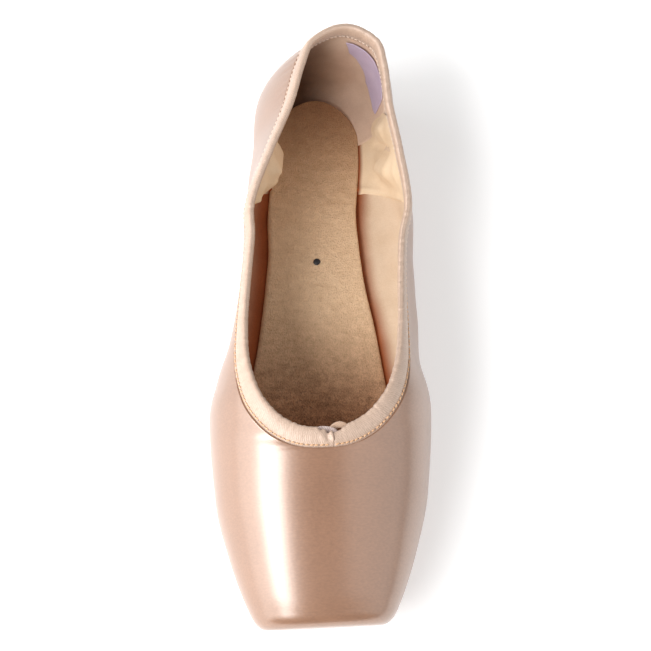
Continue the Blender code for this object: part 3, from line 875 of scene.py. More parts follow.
@dataclass
class SatinUpper:
    """The satin over the stiff box: vamp, platform and quarters as one hollow wall."""

    last: Last
    vamp_stations: int = 90
    collar_stations: int = 210
    rows: int = 84
    inner_rows: int = 44
    wave: float = 0.10
    pucker: float = 0.12
    pucker_reach: float = 3.2
    rim_slope: float = 0.48
    rim_step: float = 6.5
    pleat_height: float = 0.7
    pleat_turn: float = 11.0
    pleat_middle: float = 46.0
    wave_across: Span = (9.0, 23.0)
    wave_up: Span = (17.0, 11.0)
    pucker_seed: int = 7
    pucker_pitch: float = 3.4
    pucker_over: Span = (24.0, 70.0)
    wall_height: float = 45.0
    left_shift: float = 40.0
    measure_steps: int = 2001
    rim_rings: int = 12
    face_rings: tuple[float, ...] = (0.8, 0.6, 0.4, 0.2, 0.0)
    inner_steps: Span = (3.0, 1.0)
    inner_round: float = 0.45
    inner_tip: float = 1e-3
    heel_pleat_back: float = 24.0
    heel_pleat_height: float = 0.45
    pleat_power: float = 0.6
    pleat_front: Span = (-4.0, 6.0)
    pleat_starts: Span = (6.0, 14.0)
    pleat_under: Span = (7.0, 13.0)
    folds: tuple[Fold, ...] = (
        Fold(Side.LEFT, ((92.0, 44.0), (96.0, 30.0), (100.0, 16.0)), 5.0, -0.35),
        Fold(Side.RIGHT, ((100.0, 42.0), (104.0, 28.0), (106.0, 16.0)), 5.0, -0.3),
        Fold(Side.LEFT, ((168.0, 44.0), (160.0, 30.0), (148.0, 20.0)), 5.0, -0.5),
        Fold(Side.RIGHT, ((160.0, 40.0), (152.0, 30.0), (146.0, 20.0)), 5.0, -0.35),
    )

    def relief(self, points: Array, edge_share: Array, rows: Array, side: Side) -> Array:
        """How far the cloth stands off the last.

        Args:
            points: The grid on the last.
            edge_share: The share of the way round the collar, 0 on the vamp.
            rows: The share of the way up the wall.
            side: The half of the shoe.

        Returns:
            Millimetres outwards for each point.
        """
        across, along, up = points[..., 0], points[..., 1], points[..., 2]
        slow = np.sin(across / self.wave_across[0] + along / self.wave_across[1])
        lift = self.wave * slow * np.sin(along / self.wave_up[0] + up / self.wave_up[1])
        for fold in self.folds:
            lift = lift + fold.lift(points, side)
        shares, _, measure = self.last.collar_measure(self.measure_steps)
        run = np.interp(edge_share, shares, measure)
        gather = ripple(run + self.left_shift * (side is Side.LEFT), self.pucker_seed, self.pucker_pitch)
        pucker = self.pucker * gather * eased(*self.pucker_over, run)
        top = bell((1.0 - rows) * self.wall_height, self.pucker_reach)
        return lift + pucker[:, None] * top[None, :] + self.pleats(points)

    def pleats(self, points: Array) -> Array:
        """The satin drawn in fans to the sole's front edge, and lightly round the heel's."""
        across, along, up = points[..., 0], points[..., 1], points[..., 2]
        total = np.zeros(across.shape)
        heel = (self.last.length - self.heel_pleat_back, -1.0, self.heel_pleat_height)
        for middle, forward, height in (heel, (self.pleat_middle, 1.0, self.pleat_height)):
            reach = forward * (middle - along)
            angle = np.degrees(np.arctan2(across, reach))
            ridge = (0.5 - 0.5 * np.cos(math.tau * angle / self.pleat_turn)) ** self.pleat_power
            near = eased(*self.pleat_front, reach) * (1.0 - eased(*self.pleat_under, up))
            total = total + height * ridge * near * eased(*self.pleat_starts, np.hypot(across, reach))
        return total

    def half(self, side: Side) -> list[Patch]:
        """The patches of one half: outside, inside and the edges between them."""
        last = self.last
        vamp = np.linspace(-1.0, 0.0, self.vamp_stations, endpoint=False)
        stations = np.concatenate([vamp, np.linspace(0.0, 1.0, self.collar_stations)])
        rows = np.linspace(0.0, 1.0, self.rows)
        outer, outward = last.skin(stations, rows)
        share = np.clip(stations, 0.0, 1.0)
        lifted = outer + outward * self.relief(outer, share, rows, side)[..., None]
        base, base_out = last.skin(stations, np.linspace(0.0, 1.0, self.inner_rows))
        inner = base - base_out * last.wall_at(base[..., 1])[..., None]
        outside = np.concatenate([self.toe(lifted[0]), lifted])
        inside = np.concatenate([self.inner_toe(inner), inner])
        rim = slice(self.vamp_stations, None)
        top = np.stack([lifted[rim, -1], inner[rim, -1]], 1)
        bottom = np.stack([lifted[:, 0], inner[:, 0]], 1)
        grids = (outside, inside, top, bottom)
        return [Cutter.patch(last.settle(mirrored(grid, side)), self.cloth_uv(grid)) for grid in grids]

    @staticmethod
    def cloth_uv(grid: Array) -> Array:
        """Metres along the shoe and up the wall."""
        steps = np.linalg.norm(np.diff(grid, axis=1), axis=-1)
        climb = np.concatenate([np.zeros((len(grid), 1)), np.cumsum(steps, 1)], 1)
        return np.stack([grid[..., 1], climb], -1) * MM

    def toe(self, base: Array) -> Array:
        """Rings that round the platform's edge and cross its face to the middle."""
        depth = self.last.platform_round
        rings = []
        for share in np.linspace(0.0, 1.0, self.rim_rings + 1)[1:]:
            step = 2.0 * share * (1.0 - share) * self.rim_slope * depth + share**2 * self.rim_step
            rings.append(self.shrunk(base, step, depth * (1.0 - share) ** 2))
        rim = rings[-1]
        middle = np.array([0.0, rim[0, 1], (rim[0, 2] + rim[-1, 2]) / 2])
        rings += [middle + (rim - middle) * share for share in self.face_rings]
        return np.stack(rings[::-1])

    def inner_toe(self, inner: Array) -> Array:
        """Rings that close the hollow behind the platform."""
        wall = self.last.platform_wall
        face = self.shrunk(inner[0], self.inner_steps[0], wall)
        centre = face.mean(0)
        tip = centre * [0.0, 1.0, 1.0] + (face - centre) * self.inner_tip
        along = wall + (inner[..., 1].min() - wall) * self.inner_round
        rings = np.stack([tip, face, self.shrunk(inner[0], self.inner_steps[1], along)])
        rings[:2, :, 0] = np.maximum(0.0, rings[:2, :, 0])
        return rings

    @staticmethod
    def shrunk(base: Array, step: float, along: float) -> Array:
        """A ring drawn in towards its middle and moved along the shoe."""
        middle = (base[0, 2] + base[-1, 2]) / 2
        ring = base.copy()
        ring[:, 0] = base[:, 0] * (1 - step / base[:, 0].max())
        ring[:, 1] = along
        ring[:, 2] = middle + (base[:, 2] - middle) * (1 - step / abs(base[-1, 2] - base[0, 2]) * 2)
        return ring

    def build(self, finish: Material) -> bpy.types.Object:
        """Sews both halves and puts them in the place of the solid."""
        piece = Cutter.sew("satin_upper", self.half(Side.RIGHT) + self.half(Side.LEFT), finish)
        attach(piece, "root")
        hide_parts("upper")
        return piece


@dataclass
class CollarPath:
    """The way round the collar, from the throat along the right, past the back seam and home on the left."""

    last: Last
    first_across: float = 3.6
    last_across: float = 3.5
    step: float = 0.45
    measure_steps: int = 3001
    throat_steps: int = 200
    probe: float = 1e-3

    def __post_init__(self) -> None:
        """Measures the collar and works out a frame at every step of it."""
        fine, edge, measure = self.last.collar_measure(self.measure_steps)
        half = measure[-1]
        near = slice(0, self.throat_steps)
        start = np.interp(self.first_across, edge[near, 0], measure[near])
        end = 2 * half + np.interp(self.last_across, edge[near, 0], measure[near])
        self.run = np.linspace(start, end, int((end - start) / self.step))
        folded = np.where(self.run <= half, self.run, 2 * half - self.run)
        self.share = np.interp(np.abs(folded), measure, fine)
        sign = np.where((self.run <= half) | (self.run > 2 * half), 1.0, -1.0)
        frames = self.frames(self.share, sign, self.run > half)
        self.middle, self.upward, self.outward, self.tangent = frames

    def frames(self, share: Array, sign: Array, homeward: Array) -> tuple[Array, Array, Array, Array]:
        """Frames at shares of the way round one half.

        Args:
            share: The shares, 0 at the throat and 1 at the back seam.
            sign: 1 where the place is on the right, -1 on the left.
            homeward: True where the path runs back to the throat.

        Returns:
            The middle of the wall's edge, the way up, the way out and the way on.
        """
        last = self.last
        small = self.probe
        edge = last.collar_point(share)
        after = last.collar_point(np.minimum(1.0, share + small))
        before = last.collar_point(np.maximum(0.0, share - small))
        before = np.where((share < small)[:, None], last.collar_point(small - share) * MIRROR, before)
        after = np.where((share > 1 - small)[:, None], last.collar_point(2 - small - share) * MIRROR, after)
        tangent = unit(after - before)
        outward = last.normal(edge[:, 1], last.top_angle(edge, share))
        outward[:, 0] = np.where(edge[:, 0] < HAIR, 0.0, outward[:, 0])
        outward = unit(outward - tangent * np.sum(outward * tangent, 1, keepdims=True))
        upward = unit(np.cross(outward, tangent))
        middle = edge - outward * last.wall_at(edge[:, 1])[:, None] / 2
        flip = np.stack([sign, np.ones_like(sign), np.ones_like(sign)], 1)
        onward = np.where(homeward & (sign > 0), 1.0, np.where(homeward, -1.0, 1.0))[:, None]
        return middle * flip, upward * flip, outward * flip, tangent * flip * onward


@dataclass
class BindingTape:
    """The folded tape round the collar that holds the drawstring."""

    last: Last
    path: CollarPath
    rise: float = 8.1
    lap: float = 0.9
    half_thick: float = 1.7
    half_flat: float = 1.35
    filled: Span = (0.5, 4.0)
    side_power: float = 0.75
    face_power: float = 0.7
    corners: int = 36
    stitch_rise: float = 1.0
    stitch_depth: float = 0.22
    stitch_pitch: float = 2.0
    groove_width: float = 0.7
    pinch: float = 0.3
    upper_part: Span = (1.0, 6.0)
    gather: float = 0.042
    gather_pitch: float = 3.8
    gather_seed: int = 3
    gather_calm: float = 0.7
    wrinkle: float = 0.04
    wrinkle_pitch: float = 1.7
    wrinkle_seed: int = 11
    ruffle: Span = (0.13, 0.05)
    end_length: float = 9.0
    end_drop: float = 2.3
    end_ruffle: float = 0.8
    end_ruffle_turns: float = 1.9
    end_crumple: float = 0.55
    end_crumple_turns: Span = (1.4, 0.6)
    start_drop: float = 2.4

    def profile(self) -> tuple[Array, Array]:
        """One cross-section: heights above the wall's edge, and distances outwards."""
        turn = np.linspace(0.0, math.tau, self.corners, endpoint=False) + math.pi / self.corners
        middle = (self.rise - self.lap) / 2
        height = middle + boxy(np.cos(turn), self.side_power) * (self.rise + self.lap) / 2
        full = eased(*self.filled, height)
        thick = self.half_flat + (self.half_thick - self.half_flat) * full
        return height, boxy(np.sin(turn), self.face_power) * thick

    def build(self, finish: Material) -> bpy.types.Object:
        """Lays the tape, with its gathers, its stitched groove and its crumpled end at the throat."""
        path = self.path
        run = path.run[:, None]
        rise, out = (np.repeat(row[None, :], len(path.run), 0) for row in self.profile())
        wave = ripple(run, self.gather_seed, self.gather_pitch)
        small = ripple(run, self.wrinkle_seed, self.wrinkle_pitch)
        upper = eased(*self.upper_part, rise)
        groove = bell(rise - self.stitch_rise, self.groove_width)
        pinch = 1.0 - self.pinch * (1.0 - np.cos(math.tau * run / self.stitch_pitch))
        out = out * (1.0 - groove * self.stitch_depth * pinch / self.half_flat)
        gather = self.gather * wave * (1.0 - self.gather_calm * upper)
        out = out + np.sign(out) * (gather + self.wrinkle * small)
        rise = rise + upper * (self.ruffle[0] * wave + self.ruffle[1] * small)
        end = upper * (1.0 - eased(0.0, self.end_length, path.run[-1] - run))
        rise = rise - end * (self.end_drop + self.end_ruffle * np.sin(run * self.end_ruffle_turns))
        across, climb = self.end_crumple_turns
        out = out + end * self.end_crumple * np.sin(run * across + rise * climb)
        start = upper * (1.0 - eased(0.0, self.end_length, run - path.run[0]))
        rise = rise - start * self.start_drop
        points = (
            path.middle[:, None]
            + path.upward[:, None] * rise[..., None]
            + path.outward[:, None] * out[..., None]
        )
        steps = np.linalg.norm(np.diff(points[0], axis=0), axis=-1)
        around = np.concatenate([[0.0], np.cumsum(steps)])
        uv = np.stack(np.broadcast_arrays(run, around[None, :]), -1) * MM
        piece = Cutter.sew("binding_tape", Cutter.band(self.last.settle(points), uv), finish)
        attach(piece, "root")
        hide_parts("binding")
        return piece


@dataclass
class BindingStitches:
    """The row of stitches along the tape's lower edge, with a needle hole at each end of a stitch."""

    last: Last
    path: CollarPath
    pitch: float = 2.0
    stitch: float = 1.45
    thickness: float = 0.27
    rise: float = 1.0
    reach: float = 1.24
    arch: float = 0.16
    slants: Span = (0.02, 0.14)
    slant_seed: int = 9
    start: float = 1.2
    spare: float = 2.0
    unevenness: float = 0.09
    place_seed: int = 5
    shares: tuple[float, ...] = (-1.0, -0.93, -0.72, -0.3, 0.3, 0.72, 0.93, 1.0)
    taper_power: float = 6.0
    corners: int = 7
    hole: float = 0.20
    hole_length: float = 0.9
    hole_corners: int = 8
    hole_rings: tuple[Span, ...] = ((1.0, -0.05), (0.6, 0.04), (0.0, 0.06))
    holes_until: float = 0.5

    def spots(self) -> Array:
        """Places of the stitches along the collar, a little uneven."""
        chance = np.random.default_rng(self.place_seed)
        run = self.path.run
        count = int((run[-1] - run[0] - self.spare) / self.pitch)
        uneven = chance.uniform(-self.unevenness, self.unevenness, count)
        return run[0] + self.start + self.pitch * (np.arange(count) + uneven)

    def frame_at(self, run: Array) -> tuple[Array, Array, Array, Array]:
        """The collar's frame at distances along it."""
        path = self.path
        rows = (path.middle, path.upward, path.outward, path.tangent)
        read = [np.stack([np.interp(run, path.run, row[:, i]) for i in range(3)], -1) for row in rows]
        return read[0], unit(read[1]), unit(read[2]), unit(read[3])

    def shells(self, spots: Array, up: Array, out: Array, on: Array, uv: Array | None = None) -> list[Patch]:
        """One small shell at each spot.

        Args:
            spots: Where the shells lie along the collar.
            up: Millimetres up from the wall's edge, rings by corners, for all or for each shell.
            out: Millimetres outwards, in the same order.
            on: Millimetres along the collar, in the same order.
            uv: The cloth's places in millimetres, or the shell's own if left out.

        Returns:
            A patch for each shell.
        """
        middle, upward, outward, tangent = (row[:, None, None] for row in self.frame_at(spots))
        grids = middle + upward * up[..., None] + outward * out[..., None] + tangent * on[..., None]
        settle = self.last.settle
        return [Cutter.patch(settle(grid), (grid[..., :2] if uv is None else uv) * MM) for grid in grids]

    def tubes(self, face: float) -> list[Patch]:
        """One short bent capsule for each stitch, on the outer face at 1 or the inner at -1."""
        spots = self.spots()
        chance = np.random.default_rng(self.slant_seed)
        slant = chance.uniform(*self.slants, len(spots))[:, None, None]
        shares = np.array(self.shares)[:, None]
        thick = self.thickness * np.sqrt(np.maximum(0.0, 1.0 - shares**self.taper_power)) + HAIR
        turn = np.linspace(0.0, math.tau, self.corners + 1)[None]
        up = self.rise + slant * shares * self.stitch + np.cos(turn) * thick
        out = face * (self.reach + self.arch * (1.0 - shares**2)) + np.sin(turn) * thick
        uv = np.stack(np.broadcast_arrays(shares * self.stitch, turn * self.thickness), -1)
        return self.shells(spots, up, out, shares * self.stitch / 2, uv)

    def build(self, thread_finish: Material, shade: Material) -> list[bpy.types.Object]:
        """The stitches, and dark shells of painted shade in their needle holes."""
        tubes = self.tubes(1.0) + self.tubes(-1.0)
        stitches = Cutter.sew("binding_stitches", tubes, thread_finish, THREAD_WELD)
        spots = self.spots()[:-1] + self.pitch / 2
        spots = spots[np.interp(spots, self.path.run, self.path.share) < self.holes_until]
        turn = np.linspace(0.0, math.tau, self.hole_corners + 1)[None]
        share, lift = np.array(self.hole_rings).T[..., None]
        up = self.rise + np.cos(turn) * self.hole * share
        on = np.sin(turn) * self.hole * share * self.hole_length
        shells = self.shells(spots, up, self.reach + lift, on)
        holes = Cutter.sew("needle_holes", shells, shade, THREAD_WELD)
        for piece in (stitches, holes):
            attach(piece, "root")
        return [stitches, holes]


@dataclass
class Lining:
    """One panel of lining against the inner face of the wall.

    front and back are where the panel starts and ends along the shoe in millimetres, at the height of the
    sock. A slant moves its front edge towards the toe for each millimetre up the wall. On the left the
    shade along the sock reaches further up the wall.
    """

    last: Last
    name: str
    front: float
    back: float
    proud: float
    slant: float = 0.0
    lip: float = 0.0
    puff: float = 0.8
    left_shade: float = 0.4
    shade_clear_above: float = 15.0
    shade_clear_slope: float = 0.3
    low: float = 0.10
    pitch: float = 0.8
    rows: int = 64
    dense: int = 900
    slant_from: float = 6.0
    wave: float = 0.18
    wave_pitch: float = 15.0
    wave_climb: float = 0.5
    left_shift: float = 50.0
    tucked: Span = (0.9, 1.0)
    tuck: float = 0.85
    lip_rise: float = 0.8
    least: float = 0.08
    seed: int = 1
    folds: tuple[Fold, ...] = ()

    def stations(self, rows: Array) -> Array:
        """Where the panel's columns stand on each row.

        Args:
            rows: The shares up the wall.

        Returns:
            Stations of the skin, columns by rows.
        """
        dense = np.linspace(-1.0, 1.0, self.dense)
        outer, _ = self.last.skin(dense, rows)
        measure = outer[..., 1] + self.slant * np.maximum(0.0, outer[..., 2] - self.slant_from)
        first, final = (
            np.array([np.interp(mark, np.maximum.accumulate(measure[:, j]), dense) for j in range(len(rows))])
            for mark in (self.front, self.back)
        )
        count = int((self.back - self.front) / self.pitch) + 2
        share = np.linspace(0.0, 1.0, count)[:, None]
        return first[None, :] * (1.0 - share) + final[None, :] * share

    def half(self, side: Side) -> Patch:
        """The panel's patch on one side."""
        last = self.last
        rows = np.linspace(self.low, 1.0, self.rows)
        stations = self.stations(rows)
        outer, outward = last.skin(stations, np.repeat(rows[None, :], len(stations), 0))
        tucked = eased(*self.tucked, rows)[None, :]
        shift = self.left_shift * (side is Side.LEFT)
        sway = ripple(outer[..., 1] + self.wave_climb * outer[..., 2] + shift, self.seed, self.wave_pitch)
        inwards = self.proud + self.wave * sway * (1.0 - tucked)
        if self.lip > 0:
            run = outer[..., 1] - outer[:1, :, 1]
            puff = self.puff * bell(run - self.lip, self.lip)
            inwards = (inwards + puff) * eased(0.0, self.lip * self.lip_rise, run)
        for fold in self.folds:
            inwards = inwards + fold.lift(outer, side)
        inwards = np.maximum(self.least, inwards) * (1.0 - self.tuck * tucked)
        grid = outer - outward * (last.wall_at(outer[..., 1]) + inwards)[..., None]
        grid[..., 0] = np.where(outer[..., 0] < HAIR, 0.0, np.maximum(0.0, grid[..., 0]))
        # The UV's second coordinate is the distance beyond the sock's edge, shortened on the left and raised
        # high on the wall; the cotton's painted shade darkens the lining where it is small.
        beyond = grid[..., 0] - Sock(last).edge(grid[..., 1], side)
        shade = self.left_shade if side is Side.LEFT else 1.0
        shade_clear = self.shade_clear_slope * (grid[..., 2] - self.shade_clear_above)
        uv = np.stack([grid[..., 1], np.maximum(beyond * shade, shade_clear)], -1) * MM
        return Cutter.patch(last.settle(mirrored(grid, side)), uv)

    def build(self, finish: Material, slot: str) -> bpy.types.Object:
        """The panel as one piece on both sides, its UV the places along the shoe and beyond the sock."""
        piece = Cutter.sew(self.name, [self.half(Side.RIGHT), self.half(Side.LEFT)], finish)
        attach(piece, "root")
        return piece


@dataclass
class Sock:
    """The felt-covered sock and shank that the foot stands on.

    Each row of the edge is a share of the half width and a share of the way down to the wall.
    """

    last: Last
    rows: tuple[Outline, ...] = (
        Outline(0.060, 15.0),
        Outline(0.150, 26.0),
        Outline(0.300, 31.0),
        Outline(0.420, 27.6),
        Outline(0.520, 23.6),
        Outline(0.595, 20.6),
        Outline(0.670, 18.9),
        Outline(0.770, 18.6),
        Outline(0.870, 18.4),
        Outline(0.957, 17.4),
    )
    toe_tip: float = 10.0
    heel_tip: float = 19.0
    stations: int = 260
    swing: float = -2.2
    swing_over: Hill = ((0.48, 0.62), (0.70, 0.84))
    wave: float = 0.10
    wave_pitch: float = 17.0
    wave_seed: int = 21
    wave_turn: Span = (0.5, 0.7)
    top_rows: int = 24
    top_until: float = 0.9
    edge_rows: tuple[Span, ...] = (
        (0.94, 0.02), (0.97, 0.10), (0.99, 0.28), (1.0, 0.55),
        (1.0, 0.85), (0.985, 1.0), (0.7, 1.0), (0.0, 1.0),
    )

    def plan(self) -> tuple[Array, Array]:
        """Places along the sock and its half width at each."""
        return self.last.sole_plan(self.rows, self.toe_tip, self.heel_tip, self.stations)

    def swing_at(self, along: Array) -> Array:
        """How far the sock's waist is shifted sideways."""
        return self.swing * hill(*self.swing_over, along / self.last.length)

    def edge(self, along: Array, side: Side) -> Array:
        """Distance of the sock's edge from the centre line."""
        places, width = self.plan()
        return np.interp(along, places, width) + side.value * self.swing_at(along)

    def half(self, side: Side) -> Patch:
        """The top, the rounded edge and the underside of one half."""
        last = self.last
        along, width = self.plan()
        swing = self.swing_at(along)
        top_rows = np.stack([np.linspace(0.0, self.top_until, self.top_rows), np.zeros(self.top_rows)], -1)
        shares, drop = np.concatenate([top_rows, self.edge_rows]).T
        across = width[:, None] * shares[None, :] + side.value * swing[:, None]
        spot = np.repeat(along[:, None], len(shares), 1)
        top = last.sock_top(spot, across)
        low = last.bed_height(spot, across) + 2 * last.gap
        height = top + (low - top) * drop
        slanted = across * self.wave_turn[0] + spot * self.wave_turn[1]
        sway = self.wave * ripple(slanted, self.wave_seed, self.wave_pitch) * (drop == 0.0)
        grid = np.stack([across, spot, height + sway], -1)
        uv = np.stack([across, spot], -1) * MM
        return Cutter.patch(last.settle(mirrored(grid, side)), uv)

    def build(self, finish: Material) -> bpy.types.Object:
        """The sock as one piece."""
        halves = [self.half(Side.RIGHT), self.half(Side.LEFT)]
        piece = Cutter.sew("sock_lining", halves, finish, TIP_WELD)
        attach(piece, "root")
        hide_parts("sock")
        return piece


@dataclass
class Outsole:
    """The leather sole, with a rounded edge and a shallow channel cut round its face.

    Each row is a share of the half width and a share of the thickness.
    """

    last: Last
    toe_tip: float = 12.0
    heel_tip: float = 18.0
    stations: int = 220
    channel_share: float = 0.86
    channel_depth: float = 0.25
    channel_width: float = 1.0 / 75.0
    rows: tuple[Span, ...] = (
        (0.0, 1.0), (0.4, 1.0), (0.8, 1.0), (0.95, 0.98), (0.985, 0.90), (1.0, 0.72),
        (1.0, 0.4), (0.99, 0.15), (0.965, 0.03), (0.90, 0.0), (0.88, 0.0), (0.86, 0.0),
        (0.84, 0.0), (0.82, 0.0), (0.5, 0.0), (0.0, 0.0),
    )

    def half(self, side: Side) -> Patch:
        """The upper face, the edge and the face on the floor, of one half."""
        last = self.last
        along, width = last.sole_plan(last.sole, self.toe_tip, self.heel_tip, self.stations)
        shares, level = np.array(self.rows).T
        channel = bell(shares - self.channel_share, self.channel_width) * (level == 0.0)
        across = width[:, None] * shares[None, :]
        spot = np.repeat(along[:, None], len(shares), 1)
        low = last.sole_rise(spot)
        height = low + last.sole_thickness * level[None, :] + self.channel_depth * channel[None, :]
        grid = np.stack([across, spot, height], -1)
        return Cutter.patch(last.settle(mirrored(grid, side)), grid[..., :2] * MM)

    def build(self, finish: Material) -> bpy.types.Object:
        """The outsole as one piece."""
        halves = [self.half(Side.RIGHT), self.half(Side.LEFT)]
        piece = Cutter.sew("outsole_leather", halves, finish, TIP_WELD)
        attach(piece, "root")
        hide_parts("outsole")
        return piece


@dataclass
class DrawstringEnd:
    """One flat end of the drawstring, bent over behind the binding at the throat."""

    last: Last
    name: str
    node: str
    bends: tuple[Span, ...]
    depth: float
    width: float = 2.6
    thickness: float = 1.1
    steps: int = 60
    corners: int = 16
    power: float = 0.8
    level: float = 0.7
    curl: float = 0.12
    curl_turns: float = 2.4
    cloth_step: float = 3.0
    throat_until: float = 0.4
    measure_steps: int = 801

    def build(self, finish: Material) -> bpy.types.Object:
        """The end as one closed band."""
        last = self.last
        key = np.array(self.bends)
        at = np.linspace(0.0, len(key) - 1.0, self.steps)
        line = through(np.concatenate([[2 * key[0] - key[1]], key, [2 * key[-1] - key[-2]]]), at)
        across, rise = line[:, 0], line[:, 1]
        fine = np.linspace(0.0, self.throat_until, self.measure_steps)
        share = np.interp(np.abs(across), last.collar_point(fine)[:, 0], fine)
        sign = np.where(across < 0, -1.0, 1.0)
        middle, upward, outward, _ = CollarPath(last).frames(share, sign, np.zeros(len(share), bool))
        level = self.level + last.binding_top / 2 + rise
        centre = middle + upward * level[:, None] - outward * self.depth
        side = unit(np.cross(unit(np.gradient(centre, axis=0)), outward))
        turn = np.linspace(0.0, math.tau, self.corners, endpoint=False)
        curl = self.curl * np.sin(at * self.curl_turns)
        flat = boxy(np.cos(turn), self.power) * self.width / 2
        thick = boxy(np.sin(turn), self.power) * self.thickness / 2
        grid = (
            centre[:, None]
            + side[:, None] * flat[None, :, None]
            + outward[:, None] * (thick[None, :] + curl[:, None] * flat[None, :])[..., None]
        )
        uv = np.stack(np.broadcast_arrays(at[:, None] * self.cloth_step, flat[None, :]), -1) * MM
        piece = Cutter.sew(self.name, Cutter.band(last.settle(grid), uv), finish)
        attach(piece, "root")
        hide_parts(self.node)
        return piece


@dataclass
class HeelLabel:
    """The small bare label sewn inside the heel on the right, which climbs along the binding.

    Each row is a share of the way round the collar, and the shares up the wall of the label's two edges.
    """

    last: Last
    rows: tuple[tuple[float, float, float], ...] = (
        (0.862, 0.62, 0.80),
        (0.885, 0.64, 0.88),
        (0.915, 0.68, 0.94),
        (0.945, 0.77, 0.97),
        (0.970, 0.84, 0.98),
        (0.990, 0.91, 0.98),
    )
    proud: float = 1.3
    thickness: float = 0.25
    columns: int = 70
    levels: int = 20
    bow: float = 0.10
    bow_turns: float = 80.0

    def build(self, finish: Material) -> bpy.types.Object:
        """The label as one thin closed piece."""
        last = self.last
        share, low, high = np.array(self.rows).T
        at = np.linspace(share[0], share[-1], self.columns)
        level = np.linspace(0.0, 1.0, self.levels)[None, :]
        start, end = np.interp(at, share, low)[:, None], np.interp(at, share, high)[:, None]
        rows = start + (end - start) * level
        outer, outward = last.skin(np.repeat(at[:, None], self.levels, 1), rows)
        bow = self.bow * np.sin(at * self.bow_turns)[:, None] * np.sin(level * math.pi)
        depth = last.wall_at(outer[..., 1]) + self.proud + bow
        back = outer - outward * depth[..., None]
        front = outer - outward * (depth + self.thickness)[..., None]
        ring = np.concatenate([front, back[:, ::-1]], 1)
        patches = [Cutter.patch(last.settle(ring), SatinUpper.cloth_uv(ring), around=True)]
        for edge in (0, -1):
            grid = np.stack([last.settle(front[edge]), last.settle(back[edge])])
            patches.append(Cutter.patch(grid, grid[..., :2]))
        piece = Cutter.sew("heel_label", patches, finish)
        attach(piece, "root")
        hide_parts("label")
        return piece


@dataclass
class Tack:
    """The black domed head of the tack in the sock."""

    last: Last
    across: float = -2.1
    along_share: float = 0.639
    radius: float = 1.45
    sunk: float = 0.1
    corners: int = 32
    rings: tuple[Span, ...] = (
        (0.0, 0.0), (0.96, 0.0), (1.0, 0.06), (1.0, 0.28),
        (0.9, 0.46), (0.6, 0.62), (0.3, 0.69), (0.0, 0.7),
    )

    def build(self, finish: Material) -> bpy.types.Object:
        """The tack's head as one closed piece, from shares of its radius and millimetres up."""
        last = self.last
        along = np.array(self.along_share * last.length)
        floor = float(last.sock_top(along, np.array(self.across))) + self.sunk
        turn = np.linspace(0.0, math.tau, self.corners + 1)
        share, rise = np.array(self.rings).T
        reach = self.radius * share[:, None]
        height = np.repeat(floor + rise[:, None], len(turn), 1)
        grid = np.stack([self.across + reach * np.cos(turn), along + reach * np.sin(turn), height], -1)
        piece = Cutter.sew("tack_head", [Cutter.patch(last.settle(grid), grid[..., :2] * MM)], finish)
        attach(piece, "root")
        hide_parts("tack")
        return piece


@dataclass(frozen=True)
class Softbox:
    """One long rectangular studio light, hung beside the shoe and facing it.

    The angle is measured in degrees from the floor on the right over the top to the floor on the left.
    """

    name: str
    angle: float
    spread: float
    length: float
    glow: float
    distance: float = 1.0
    along: float = -0.6
    centre_up: float = 0.02
    lean: float = 0.0

    def build(self) -> None:
        """Hangs the light."""
        turn = math.radians(self.angle)
        back = Vector((math.cos(turn), 0.0, math.sin(turn)))
        data = bpy.data.lights.new(self.name, "AREA")
        data.shape = "RECTANGLE"
        data.size = self.length
        data.size_y = 2.0 * self.distance * math.tan(math.radians(self.spread / 2.0))
        data.energy = self.glow * math.pi * data.size * data.size_y
        lamp = bpy.data.objects.new(self.name, data)
        place = Vector((0.0, self.along, self.centre_up)) + back * self.distance
        side = Vector((0.0, 1.0, 0.0))
        turned = Matrix((side, back.cross(side), back)).transposed().to_4x4()
        leant = Matrix.Rotation(math.radians(self.lean), 4, "Z")
        lamp.matrix_world = Matrix.Translation(place) @ turned @ leant
        bpy.context.scene.collection.objects.link(lamp)


